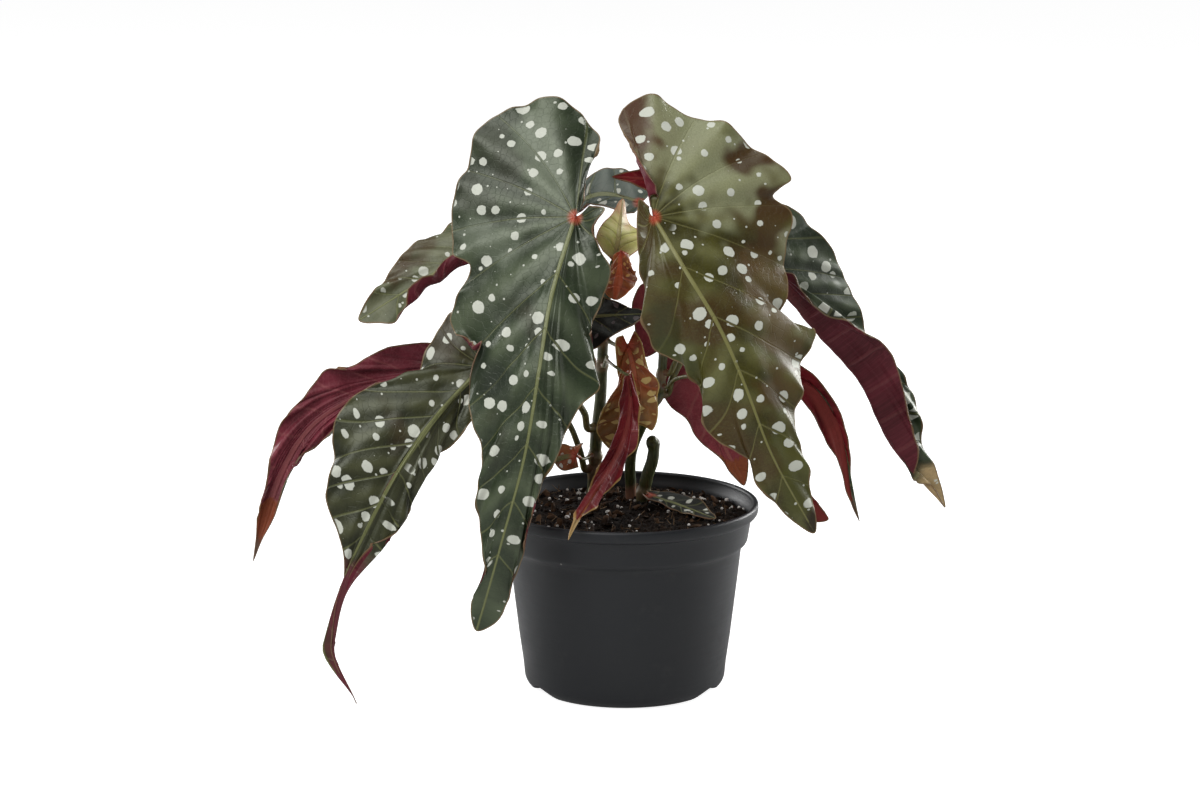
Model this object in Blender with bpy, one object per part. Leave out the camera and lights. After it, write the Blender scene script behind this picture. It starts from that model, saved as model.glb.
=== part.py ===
"""Potted polka dot begonia: a cane begonia with angel wing leaves in a black plastic nursery pot.

Standalone Blender 4.5 script. World units are metres, +Z is up, and the origin is the middle of the
pot's underside. The tables below are in millimetres; MM turns them into metres when a mesh is made.
-Y is the plant's front.
"""

import math

import bmesh
import bpy
from mathutils import Vector

for old in list(bpy.data.objects):
    bpy.data.objects.remove(old, do_unlink=True)

MM = 0.001
GAP = 0.3  # clearance between two pieces that touch on the real plant

# Driving sizes of the pot.
POT_SIDES = 40
SOIL_SIDES = POT_SIDES // 2
POT_HEIGHT = 85.0
RIM_RADIUS = 60.0
WALL = 1.3
FLOOR = 1.6
FOOT_RADIUS = 39.0
CORNER_RADIUS = 6.3
SHOULDER_RADIUS = 52.4  # top of the tapered body
SHOULDER_HEIGHT = 64.5
COLLAR_LOW_RADIUS = 55.3
COLLAR_LOW = 68.3
COLLAR_TOP_RADIUS = 57.0
COLLAR_TOP = 78.8
LIP = 2.4  # thickness of the rolled rim
DRAIN_ANGLES = (-30, 90, 210)  # drain bays round the foot, in degrees from +X
DRAIN_HEIGHT = 4.6
DRAIN_BEND = 17.0  # radius of each bay's arch
DRAIN_DEPTH = 6.0  # how far a bay reaches in past the foot's radius
DRAIN_SIDES = 32
SLOT_RADIUS = 2.4  # the drain hole through the top of each bay
SLOT_INSET = 1.0
SLOT_SIDES = 12

# Driving sizes of the plant.
SOIL_EDGE = 79.0
SOIL_CROWN = 1.6  # how much higher the soil stands in the middle
ROOT_DEPTH = 14.0  # how deep each cane stands in the soil
BLADE = 0.6  # thickness of a leaf blade
LARGE = 60.0  # a blade that reaches this far has RINGS[0] rings of points round its junction
RINGS = (5, 3)  # rings of a large and of a small blade; a narrow blade names its own rings
EVENING = 3  # how many margin points either way a blade's inner rings are evened over
MARGIN_STEP = 14.0  # longest straight stretch of a blade's margin
STALK_SIDES = 6
CANE_SIDES = 8

# Canes: the points of the middle line, from the soil up, and the radius at the foot and at the tip.
CANES = {
    "cane_main": dict(
        path=[
            (-14, 34, 81), (-13, 30, 106), (-11, 26, 126), (-10, 20, 150), (-9, 11, 170), (-7, 3, 186),
            (-5.2, -2.6, 192.4), (-5, -7.2, 194.6),
        ],
        radius=(3.2, 1.9),
    ),
    "cane_second": dict(
        path=[
            (3, 27, 80), (3, 24, 101), (9, 18, 118), (15, 12, 131), (17, 8, 149), (18, 4, 176),
            (16, -3, 198),
        ],
        radius=(2.7, 1.7),
    ),
    "cane_thin": dict(path=[(8, 20, 80), (10, 19, 91), (13, 18, 101), (13, 17, 111)], radius=(1.5, 0.9)),
}

# Blades. junction is where the stalk meets the blade, up the direction its upper side faces there, midrib
# the points that the main vein passes on its way to the tip, and margin the outline, from one side of the
# notch at the junction round to the other. The margin's point farthest off is the tip. arch lifts the
# spread of the blade between junction and margin, and keel sinks it along the midrib.
BLADES = {
    "leaf_front_left": dict(
        junction=(-22, -36, 220),
        up=(0.0, -0.82, 0.57),
        midrib=[(-28, -46, 205), (-37, -63, 169), (-40, -70, 142), (-50, -73, 103), (-58, -71, 71)],
        margin=[
            (-18, -31, 227), (-17, -22, 238), (-11, -14, 252), (-17, -9, 259), (-30, -4, 267),
            (-48, -4, 263),
            (-64, -7, 255), (-69, -12, 238), (-75, -17, 226), (-74, -26, 201), (-68, -31, 198),
            (-76, -34, 174),
            (-66, -46, 158), (-69, -50, 146), (-63, -59, 124), (-64, -66, 92), (-61, -68, 68),
            (-67, -66, 56),
            (-65, -64, 42), (-56, -67, 47), (-46, -71, 74), (-40, -71, 98), (-32, -69, 117),
            (-19, -63, 143),
            (-12, -58, 149), (-15, -53, 173), (-7, -43, 197), (-15, -41, 216), (-9, -38, 224),
            (-16, -37, 225),
        ],
        arch=3,
        keel=2.5,
    ),
    "leaf_front_right": dict(
        junction=(12, -36, 220),
        up=(0.2, -0.8, 0.56),
        midrib=[(26, -52, 199), (44, -64, 169), (57, -68, 135), (69, -67, 107)],
        margin=[
            (10, -33, 224), (6, -31, 227), (5, -34, 208), (9, -42, 179), (12, -46, 163), (26, -50, 157),
            (33, -53, 145), (35, -55, 129), (48, -58, 121), (64, -62, 99), (82, -60, 85),
            (79, -57, 110),
            (74, -54, 130), (77, -42, 156), (82, -34, 168), (68, -34, 173), (70, -27, 189),
            (70, -22, 205),
            (72, -18, 219), (65, -18, 227), (72, -13, 232), (60, -9, 244), (41, -5, 256), (22, -3, 262),
            (9, -3, 268), (-2, -4, 264), (-3, -6, 257), (1, -14, 250), (7, -26, 242), (11, -31, 232),
        ],
        arch=3,
        keel=2.5,
    ),
    "leaf_upper_left": dict(
        junction=(-54, 24, 201),
        up=(-0.15, -0.35, 0.92),
        midrib=[(-69, 18, 196), (-87, 10, 188), (-104, 2, 178)],
        margin=[
            (-53, 30, 206), (-61, 42, 213), (-78, 38, 203), (-93, 24, 199), (-104, 12, 189),
            (-112, 2, 180),
            (-118, -8, 169), (-107, -10, 168), (-101, -12, 169), (-96, -12, 175), (-84, -8, 184),
            (-70, 0, 192),
            (-59, 10, 192), (-52, 18, 197),
        ],
        arch=4,
        keel=2,
    ),
    "leaf_lower_left": dict(
        junction=(-62, -24, 152),
        up=(-0.35, -0.65, 0.67),
        midrib=[
            (-81, -36, 136), (-97, -46, 117), (-110, -52, 92), (-119, -56, 68), (-123, -58, 45),
            (-121, -59, 25),
        ],
        margin=[
            (-63, -20, 157), (-69, -12, 170), (-77, -9, 173), (-83, -12, 164), (-89, -18, 154),
            (-94, -24, 146),
            (-113, -30, 144), (-127, -36, 130), (-128, -42, 113), (-131, -46, 96), (-127, -50, 83),
            (-123, -54, 64), (-126, -56, 53), (-123, -58, 32), (-118, -60, 8), (-120, -57, 32),
            (-119, -55, 64),
            (-111, -53, 77), (-95, -46, 88), (-93, -43, 100), (-87, -38, 112), (-76, -35, 118),
            (-69, -32, 127),
            (-60, -28, 137), (-58, -25, 148),
        ],
        arch=3,
        keel=3,
    ),
    "leaf_far_left": dict(
        junction=(-77, 6, 145),
        up=(0.1, 0.97, 0.2),
        midrib=[(-101, 8, 137), (-125, 4, 129), (-142, 1, 117), (-154, -4, 98), (-161, -10, 81)],
        margin=[
            (-73, 5, 140), (-76, 2, 128), (-101, 2, 118), (-122, 2, 124), (-134, 0, 114),
            (-148, -3, 102),
            (-154, -8, 90), (-158, -13, 75), (-162, -16, 66), (-166, -17, 61), (-167, -16, 75),
            (-162, -12, 88),
            (-158, -4, 108), (-154, 0, 121), (-143, 2, 133), (-132, 4, 145), (-123, 6, 145),
            (-108, 8, 153),
            (-86, 10, 155), (-75, 9, 150),
        ],
        arch=2,
        keel=-2,
    ),
    "leaf_right_back": dict(
        junction=(53, 12, 202),
        up=(0.5, -0.1, 0.86),
        midrib=[
            (71, 12, 178), (85, 17, 160), (101, 21, 143), (114, 23, 120), (125, 23, 98),
            (136, 21, 90),
        ],
        margin=[
            (56, 4, 195), (64, 0, 191), (73, 1, 187), (81, 4, 178), (91, 6, 168), (108, 10, 161),
            (121, 14, 148), (126, 16, 132), (129, 18, 118), (134, 20, 101), (132, 20, 89),
            (140, 20, 87),
            (146, 20, 77), (142, 24, 93), (136, 28, 107), (131, 29, 129), (110, 32, 157),
            (103, 34, 173),
            (97, 34, 187), (90, 34, 198), (81, 32, 208), (70, 30, 215), (59, 26, 216), (53, 18, 209),
        ],
        arch=1,
        keel=1.5,
    ),
    "leaf_thin_right": dict(
        rings=3,
        junction=(59, 0, 144),
        up=(0.1, 0.95, 0.3),
        midrib=[(76, 1, 142), (88, 0, 131), (97, -3, 114), (100, -5, 96)],
        margin=[
            (59, 2, 150), (67, 3, 153), (78, 2, 147), (86, 1, 141), (96, -2, 126), (101, -4, 107),
            (101, -6, 90),
            (105, -7, 77), (100, -7, 88), (97, -6, 98), (89, -4, 116), (83, -3, 126),
            (76, -3, 134), (65, -4, 138),
            (59, -3, 139),
        ],
        arch=1,
        keel=-1,
    ),
    "leaf_upper_back": dict(
        junction=(7, 24, 217),
        up=(-0.1, -0.45, 0.89),
        midrib=[(-13, 31, 220)],
        margin=[
            (11, 30, 219), (10, 38, 222), (1, 42, 228), (-8, 42, 229), (-14, 40, 228), (-20, 34, 223),
            (-28, 26, 215), (-34, 16, 205), (-26, 18, 208), (-18, 22, 215), (-10, 22, 216),
            (-4, 20, 214),
            (4, 18, 212),
        ],
        arch=2,
        keel=1,
    ),
    "leaf_back_sliver": dict(
        junction=(23, 16, 225),
        up=(0.0, 0.8, 0.6),
        midrib=[(10, 11, 229)],
        margin=[
            (23, 13, 221), (13, 10, 222), (7, 8, 226), (-6, 6, 231), (7, 10, 234), (15, 13, 236),
            (24, 17, 231),
        ],
        arch=1,
        keel=0,
    ),
    "leaf_centre_right": dict(
        junction=(27, 17, 158),
        up=(0.1, 0.97, 0.2),
        midrib=[(31, 18, 137), (37, 17, 121), (44, 15, 105)],
        margin=[
            (19, 16, 152), (16, 17, 145), (16, 19, 135), (20, 18, 125), (28, 15, 119),
            (31, 13, 113), (42, 11, 102), (49, 11, 94),
            (54, 12, 89), (56, 14, 98), (52, 18, 116), (43, 20, 141), (32, 22, 161), (19, 22, 177),
            (8, 18, 181),
            (4, 16, 174), (5, 14, 157), (9, 14, 148), (21, 15, 156),
        ],
        arch=2,
        keel=-1,
    ),
    "leaf_young_spotted": dict(
        junction=(1, -8, 158),
        up=(0.0, -0.95, 0.3),
        midrib=[(5, -15, 138)],
        margin=[
            (-1, -6, 162), (-4, -8, 161), (-4, -10, 151), (-3, -12, 138), (-8, -14, 132),
            (-13, -16, 122),
            (-10, -18, 116), (-5, -18, 112), (2, -17, 117), (6, -16, 123), (12, -17, 121),
            (14, -15, 126),
            (14, -13, 134), (15, -12, 141), (10, -10, 149), (7, -8, 160), (4, -6, 164),
        ],
        arch=2,
        keel=0,
    ),
    "leaf_young_keel": dict(
        junction=(1, -19, 148),
        up=(0.0, 0.95, 0.3),
        midrib=[(2, -25, 130), (-3, -33, 114), (-12, -47, 102)],
        margin=[
            (-1, -19, 144), (-2, -21, 135), (-3, -24, 125), (-6, -29, 116), (-13, -39, 107),
            (-18, -50, 98),
            (-23, -62, 91), (-25, -68, 84), (-21, -60, 91), (-16, -53, 93), (-10, -43, 97),
            (-4, -35, 102),
            (-1, -28, 110), (5, -25, 115), (6, -21, 130), (5, -19, 140), (3, -18, 147),
        ],
        arch=-1,
        keel=0,
    ),
    "leaf_dark_centre": dict(
        junction=(-26, -22, 173),
        up=(0.0, -0.5, 0.86),
        midrib=[(-8, -19, 175)],
        margin=[
            (-27, -25, 168), (-22, -30, 162), (-15, -30, 160), (-4, -26, 167), (4, -22, 170),
            (9, -18, 174),
            (1, -14, 177), (-9, -12, 180), (-13, -12, 183), (-22, -14, 184), (-29, -18, 180),
        ],
        arch=1,
        keel=1,
    ),
    "leaf_on_soil": dict(
        junction=(11, 12, 85),
        up=(0.0, 0.0, 1.0),
        midrib=[(25, -2, 83.5)],
        margin=[
            (8, 14, 85), (11, 6, 84), (22, -5, 82.5), (33, -17, 81.5), (40, -19, 81.5),
            (39, -10, 82), (36, 2, 83),
            (28, 14, 84), (17, 19, 85), (11, 17, 85.5),
        ],
        arch=1,
        keel=0.5,
    ),
    "leaf_low_red": dict(
        junction=(-22, 12, 103),
        up=(0.0, -0.8, 0.6),
        midrib=[(-26, 13, 103)],
        margin=[
            (-19, 13, 109), (-24, 15, 107), (-29, 16, 107), (-32, 15, 100), (-28, 12, 96),
            (-21, 10, 98),
        ],
        arch=1,
        keel=0,
    ),
    "leaf_tip_red": dict(
        junction=(65, -22, 115),
        up=(0.3, 0.9, 0.3),
        midrib=[(77, -23, 100)],
        margin=[
            (66, -20, 119), (71, -20, 113), (77, -22, 103), (84, -25, 91), (90, -27, 83), (83, -27, 82),
            (76, -25, 90), (67, -24, 105), (63, -23, 112),
        ],
        arch=1,
        keel=0,
    ),
    "bud_sheath": dict(
        junction=(-5, -8, 195),
        up=(0.0, -0.9, 0.4),
        midrib=[(-3, -13, 208)],
        margin=[
            (0, -10, 197), (6, -9, 201), (9, -6, 207), (5, -3, 209), (2, -3, 212), (-1, 2, 222),
            (-6, -4, 216),
            (-11, -6, 211), (-13, -6, 206), (-10, -8, 200),
        ],
        arch=4,
        keel=0,
    ),
    "baby_leaf": dict(
        junction=(-2, -18, 202),
        up=(0.0, -0.5, 0.86),
        midrib=[(-3, -23, 191)],
        margin=[
            (-5, -16, 200), (-6, -17, 195), (-10, -15, 188), (-9, -16, 183), (-4, -18, 180),
            (1, -18, 184),
            (6, -15, 188), (2, -17, 195), (1, -15, 200),
        ],
        arch=2,
        keel=0,
    ),
}

# Stalks: the blade at the upper end, the cane and the height of the seat on it, the points between, from
# the blade down, and the radius.
STALKS = {
    "leaf_front_left": dict(
        cane="cane_main",
        seat=184,
        via=[(-18, -22, 204), (-13, -6, 192)],
        radius=1.6,
    ),
    "leaf_front_right": dict(
        cane="cane_second",
        seat=192,
        via=[(13, -22, 208), (15, -12, 199)],
        radius=1.6,
    ),
    "leaf_upper_left": dict(
        cane="cane_main",
        seat=172,
        via=[(-36, 24, 188), (-20, 18, 178)],
        radius=1.4,
    ),
    "leaf_lower_left": dict(
        cane="cane_main",
        seat=112,
        via=[(-42, -10, 144), (-25, 9, 132), (-18, 21, 120)],
        radius=1.5,
    ),
    "leaf_far_left": dict(
        cane="cane_main",
        seat=93,
        via=[(-60, 2, 144), (-44, 11, 136), (-27, 19, 119), (-20, 26, 101)],
        radius=1.4,
    ),
    "leaf_right_back": dict(
        cane="cane_second",
        seat=131,
        via=[(40, 14, 181), (29, 12, 154), (21, 12, 138)],
        radius=1.4,
    ),
    "leaf_thin_right": dict(
        cane="cane_second",
        seat=143,
        via=[(47, -9, 150), (34, -6, 156), (24, 2, 151)],
        radius=1.1,
    ),
    "leaf_upper_back": dict(
        cane="cane_second",
        seat=181,
        via=[(12, 22, 199), (16, 13, 189)],
        radius=1.2,
    ),
    "leaf_back_sliver": dict(
        cane="cane_second",
        seat=190,
        via=[(22, 6, 210), (20, 2, 198)],
        radius=0.9,
    ),
    "leaf_centre_right": dict(
        cane="cane_second",
        seat=156,
        via=[(22, 9, 157)],
        radius=1.1,
    ),
    "leaf_young_spotted": dict(
        cane="cane_main",
        seat=156,
        via=[(-1, 4, 154)],
        radius=0.9,
    ),
    "leaf_young_keel": dict(
        cane="cane_main",
        seat=147,
        via=[(1, -25, 148), (-4, -24, 151), (-8, -12, 152), (-8, 4, 150)],
        radius=0.8,
    ),
    "leaf_dark_centre": dict(
        cane="cane_main",
        seat=166,
        via=[(-21, -8, 163), (-14, 4, 164)],
        radius=1.0,
    ),
    "leaf_on_soil": dict(
        cane="cane_thin",
        seat=83.2,
        via=[(11, 12.6, 83.3)],
        radius=0.7,
    ),
    "leaf_low_red": dict(
        cane="cane_main",
        seat=98,
        via=[(-19, 22, 99)],
        radius=0.9,
    ),
    "leaf_tip_red": dict(
        cane="cane_second",
        seat=136,
        via=[(57, -27, 120), (45, -22, 136), (32, -12, 144), (22, 2, 140)],
        radius=0.8,
    ),
    "baby_leaf": dict(
        cane="cane_main",
        seat=188,
        via=[(-3, -13, 192)],
        radius=0.7,
    ),
}

COLOURS = {
    "pot": ((0.030, 0.031, 0.033), 0.38),
    "soil": ((0.028, 0.021, 0.016), 0.95),
    "cane": ((0.090, 0.110, 0.035), 0.45),
    "stalk": ((0.200, 0.170, 0.060), 0.45),
    "green": ((0.045, 0.080, 0.055), 0.35),
    "olive": ((0.110, 0.095, 0.030), 0.35),
    "maroon": ((0.160, 0.018, 0.035), 0.40),
    "young": ((0.240, 0.070, 0.020), 0.40),
    "sheath": ((0.420, 0.380, 0.140), 0.45),
}
BLADE_COLOURS = {
    "leaf_front_right": "olive",
    "leaf_far_left": "maroon",
    "leaf_thin_right": "maroon",
    "leaf_back_sliver": "maroon",
    "leaf_centre_right": "maroon",
    "leaf_young_spotted": "young",
    "leaf_young_keel": "maroon",
    "leaf_low_red": "young",
    "leaf_tip_red": "maroon",
    "bud_sheath": "sheath",
    "baby_leaf": "young",
}


def material(kind):
    """The material of one kind of surface, made once."""
    found = bpy.data.materials.get(kind)
    if found:
        return found
    colour, roughness = COLOURS[kind]
    made = bpy.data.materials.new(kind)
    made.use_nodes = True
    shader = made.node_tree.nodes["Principled BSDF"]
    shader.inputs["Base Color"].default_value = (*colour, 1.0)
    shader.inputs["Roughness"].default_value = roughness
    shader.inputs["Metallic"].default_value = 0.0
    made.diffuse_color = (*colour, 1.0)
    return made


def solid(name, points, faces, kind, sharp=40.0):
    """One closed object from points in millimetres, shaded smooth up to the sharp angle."""
    mesh = bpy.data.meshes.new(name)
    mesh.from_pydata([Vector(p) * MM for p in points], [], faces)
    shape = bmesh.new()
    shape.from_mesh(mesh)
    bmesh.ops.triangulate(shape, faces=[f for f in shape.faces if len(f.verts) == 4])
    shape.to_mesh(mesh)
    shape.free()
    mesh.materials.append(material(kind))
    mesh.shade_smooth()
    mesh.set_sharp_from_angle(angle=math.radians(sharp))
    made = bpy.data.objects.new(name, mesh)
    bpy.context.scene.collection.objects.link(made)
    return made


def lathe(name, profile, kind, sides=POT_SIDES):
    """A profile of (radius, height) from the axis out, up and back to the axis, turned round +Z."""
    points = []
    rows = []
    for radius, height in profile:
        if radius == 0:
            rows.append([len(points)] * sides)
            points.append((0, 0, height))
            continue
        rows.append(list(range(len(points), len(points) + sides)))
        for side in range(sides):
            turn = 2 * math.pi * side / sides
            points.append((radius * math.cos(turn), radius * math.sin(turn), height))
    faces = []
    for low, high in zip(rows, rows[1:]):
        for side in range(sides):
            after = (side + 1) % sides
            corners = [low[side], low[after], high[after], high[side]]
            faces.append(list(dict.fromkeys(corners)))
    return solid(name, points, faces, kind)


def arc(centre, radius, start, end, steps):
    """Points on an arc in the lathe's (radius, height) plane, angles in degrees."""
    turns = [math.radians(start + (end - start) * i / steps) for i in range(steps + 1)]
    return [(centre[0] + radius * math.cos(t), centre[1] + radius * math.sin(t)) for t in turns]


def cut(target, cutter):
    """Takes the cutter away from the target and keeps it as a hidden guide."""
    cutter.hide_render = True
    cutter.display_type = "WIRE"
    step = target.modifiers.new(cutter.name, "BOOLEAN")
    step.operation = "DIFFERENCE"
    step.solver = "EXACT"
    step.object = cutter


def prisms(name, sections):
    """Straight closed bars side by side in one object, each given by the outlines of its two ends."""
    points = []
    faces = []
    for near, far in sections:
        first = len(points)
        count = len(near)
        points += near + far
        faces.append(list(range(first, first + count))[::-1])
        faces.append(list(range(first + count, first + 2 * count)))
        for side in range(count):
            after = (side + 1) % count
            faces.append([first + side, first + after, first + count + after, first + count + side])
    return solid(name, points, faces, "pot")


def drain_directions():
    """The way out from the axis to each drain bay, with the level direction across it."""
    for angle in DRAIN_ANGLES:
        along = Vector((math.cos(math.radians(angle)), math.sin(math.radians(angle)), 0))
        yield along, Vector((-along.y, along.x, 0))


def drain_bays(name, grow):
    """The arched bays round the foot, as one cutter, grown on every side by grow."""
    bend = DRAIN_BEND + grow
    middle = Vector((0, 0, DRAIN_HEIGHT - DRAIN_BEND))
    rise = Vector((0, 0, 1))
    turns = [2 * math.pi * side / DRAIN_SIDES for side in range(DRAIN_SIDES)]
    sections = []
    for along, across in drain_directions():
        arch = [middle + (across * math.cos(turn) + rise * math.sin(turn)) * bend for turn in turns]
        inner = along * (FOOT_RADIUS - DRAIN_DEPTH - grow)
        outer = along * RIM_RADIUS
        sections.append(([inner + point for point in arch], [outer + point for point in arch]))
    return prisms(name, sections)


def drain_slots():
    """One hole through the top of each bay, turned so that no corner lies on the arch's top line."""
    turns = [2 * math.pi * (side + 0.4) / SLOT_SIDES for side in range(SLOT_SIDES)]
    circle = [Vector((math.cos(turn), math.sin(turn), 0)) * SLOT_RADIUS for turn in turns]
    sections = []
    for along, _ in drain_directions():
        low = along * (FOOT_RADIUS - SLOT_INSET) + Vector((0, 0, DRAIN_HEIGHT / 4))
        high = low + Vector((0, 0, 2 * DRAIN_HEIGHT))
        sections.append(([low + point for point in circle], [high + point for point in circle]))
    return prisms("guide_slots", sections)


def pot_skin(inset, top, low):
    """The pot's outer skin below the rim, set in by inset, from the axis at height low up to height top."""
    corner = (FOOT_RADIUS, CORNER_RADIUS)
    skin = [(0, low)]
    skin += arc(corner, CORNER_RADIUS - inset, -90, -6, 4)
    skin += [
        (SHOULDER_RADIUS - inset, SHOULDER_HEIGHT - inset / 3),
        (COLLAR_LOW_RADIUS - inset - 0.7, COLLAR_LOW - 0.9 - inset / 3),
        (COLLAR_LOW_RADIUS - inset, COLLAR_LOW),
    ]
    rise = (top - COLLAR_LOW) / (COLLAR_TOP - COLLAR_LOW)
    skin.append((COLLAR_LOW_RADIUS - inset + (COLLAR_TOP_RADIUS - COLLAR_LOW_RADIUS) * rise, top))
    return skin


def make_pot():
    """The pot: its outer body, less the bays, less the hollow that keeps one wall thickness all over."""
    outer = pot_skin(0.0, COLLAR_TOP, 0.0)
    lip = (RIM_RADIUS - LIP / 2, POT_HEIGHT - LIP / 2)
    outer.append((RIM_RADIUS - 1.0, COLLAR_TOP + 0.8))
    outer.append((RIM_RADIUS, COLLAR_TOP + 2.2))
    outer += arc(lip, LIP / 2, 0, 180, 4)
    outer.append((0, POT_HEIGHT - LIP / 2))
    pot = lathe("nursery_pot", outer, "pot")
    hollow = lathe("guide_hollow", pot_skin(WALL, POT_HEIGHT + 1, FLOOR)[:-1] + hollow_mouth(), "pot")
    cut(hollow, drain_bays("guide_bays_inside", WALL))
    cut(pot, drain_bays("guide_bays_outside", 0.0))
    cut(pot, hollow)
    cut(pot, drain_slots())
    return pot


def hollow_mouth():
    """The hollow's upper end: the collar's inside, then straight out past the rim."""
    return [
        (COLLAR_TOP_RADIUS - WALL, COLLAR_TOP + 1.2),
        (RIM_RADIUS - LIP, POT_HEIGHT - LIP / 2),
        (RIM_RADIUS - LIP, POT_HEIGHT + 1),
        (0, POT_HEIGHT + 1),
    ]


def make_soil():
    """The soil: the pot's hollow less a clearance, up to the soil's crown, with a pocket for each cane."""
    side = pot_skin(WALL + GAP, SOIL_EDGE, FLOOR + GAP)
    edge = side[-1][0]
    crown = [(edge * 0.6, SOIL_EDGE + SOIL_CROWN * 0.64), (0, SOIL_EDGE + SOIL_CROWN)]
    soil = lathe("potting_soil", side + crown, "soil", SOIL_SIDES)
    cut(soil, drain_bays("guide_bays_soil", WALL + GAP))
    for name, cane in CANES.items():
        x, y, top = cane["path"][0]
        radius = cane["radius"][0] + 2 * GAP
        pocket = [(x, y, SOIL_EDGE - ROOT_DEPTH - GAP), (x, y, top + 5)]
        cut(soil, tube(f"guide_pocket_{name}", pocket, [radius, radius], SLOT_SIDES, "soil"))
    return soil


def curve_between(before, start, end, after, share):
    """A point on the centripetal Catmull-Rom curve from start to end."""
    knots = [0.0]
    for a, b in ((before, start), (start, end), (end, after)):
        knots.append(knots[-1] + max((b - a).length, 1e-6) ** 0.5)
    t = knots[1] + share * (knots[2] - knots[1])

    def between(a, b, low, high):
        return a * ((high - t) / (high - low)) + b * ((t - low) / (high - low))

    first = between(before, start, knots[0], knots[1])
    second = between(start, end, knots[1], knots[2])
    third = between(end, after, knots[2], knots[3])
    early = between(first, second, knots[0], knots[2])
    late = between(second, third, knots[1], knots[3])
    return between(early, late, knots[1], knots[2])


def smooth_path(points, step):
    """The points with more between them, on one smooth curve, no further apart than step."""
    points = [Vector(p) for p in points]
    padded = [points[0] * 2 - points[1], *points, points[-1] * 2 - points[-2]]
    path = []
    for before, start, end, after in zip(padded, padded[1:], padded[2:], padded[3:]):
        pieces = max(1, math.ceil((end - start).length / step))
        path += [curve_between(before, start, end, after, i / pieces) for i in range(pieces)]
    return path + [points[-1]]


def tube(name, path, radii, sides, kind):
    """A closed tube along a path, with a flat cap at each end."""
    path = [Vector(p) for p in path]
    last = len(path) - 1
    tangents = [(path[min(i + 1, last)] - path[max(i - 1, 0)]).normalized() for i in range(len(path))]
    side = tangents[0].orthogonal().normalized()
    points = []
    for place, along, radius in zip(path, tangents, radii):
        side = (side - along * side.dot(along)).normalized()
        other = along.cross(side)
        for step in range(sides):
            turn = 2 * math.pi * step / sides
            points.append(place + (side * math.cos(turn) + other * math.sin(turn)) * radius)
    faces = [list(range(sides))[::-1], list(range(len(points) - sides, len(points)))]
    for row in range(len(path) - 1):
        for step in range(sides):
            after = (step + 1) % sides
            first = row * sides
            faces.append([first + step, first + after, first + sides + after, first + sides + step])
    return solid(name, points, faces, kind, 60.0)


def cane_line(name):
    """The middle line and radii of one cane."""
    cane = CANES[name]
    x, y, top = cane["path"][0]
    below = [(x, y, SOIL_EDGE - ROOT_DEPTH), (x, y, SOIL_EDGE - ROOT_DEPTH / 2)]
    line = smooth_path(below + cane["path"], 8.0)
    length = 0.0
    radii = []
    total = sum((b - a).length for a, b in zip(line, line[1:]))
    for i, point in enumerate(line):
        if i:
            length += (point - line[i - 1]).length
        foot, tip = cane["radius"]
        radii.append(foot + (tip - foot) * length / total)
    return line, radii


def make_stalk(blade_name):
    """The stalk from a seat on its cane up to the underside of its blade."""
    stalk = STALKS[blade_name]
    blade = BLADES[blade_name]
    centre, facing, rows, _ = blade_rows(blade)
    dip = max(-(row[0] - centre).normalized().dot(facing) for row in rows)
    top = centre - facing * (BLADE + 1.5 * GAP + max(0.0, dip) * stalk["radius"])
    neck = top - facing * 2.5 * stalk["radius"]
    line, radii = cane_line(stalk["cane"])
    nearest = min(range(len(line)), key=lambda i: abs(line[i].z - stalk["seat"]))
    axis = line[nearest]
    along = (line[min(nearest + 1, len(line) - 1)] - line[nearest - 1]).normalized()
    away = Vector(stalk["via"][-1]) - axis
    away = (away - along * away.dot(along)).normalized()
    seat = axis + away * (radii[nearest] + GAP)
    foot = seat + away * 1.5 * stalk["radius"]
    line = smooth_path([top, neck, *stalk["via"], foot, seat], 9.0)
    taper = [stalk["radius"] * (0.65 + 0.5 * i / (len(line) - 1)) for i in range(len(line))]
    return tube(blade_name.replace("leaf", "stalk"), line, taper, STALK_SIDES, "stalk")


def turning(points, centre):
    """The vector area that a run of points sweeps round a centre."""
    total = Vector((0, 0, 0))
    for a, b in zip(points, points[1:]):
        total += (a - centre).cross(b - centre)
    return total


def evened(margin):
    """The margin with its lobes and bays evened out, for the inner rings, which then never fold over."""
    last = len(margin) - 1
    even = []
    for i, point in enumerate(margin):
        span = min(EVENING, i, last - i)
        near = margin[i - span : i + span + 1]
        even.append(sum(near, Vector((0, 0, 0))) / len(near))
    return even


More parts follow.
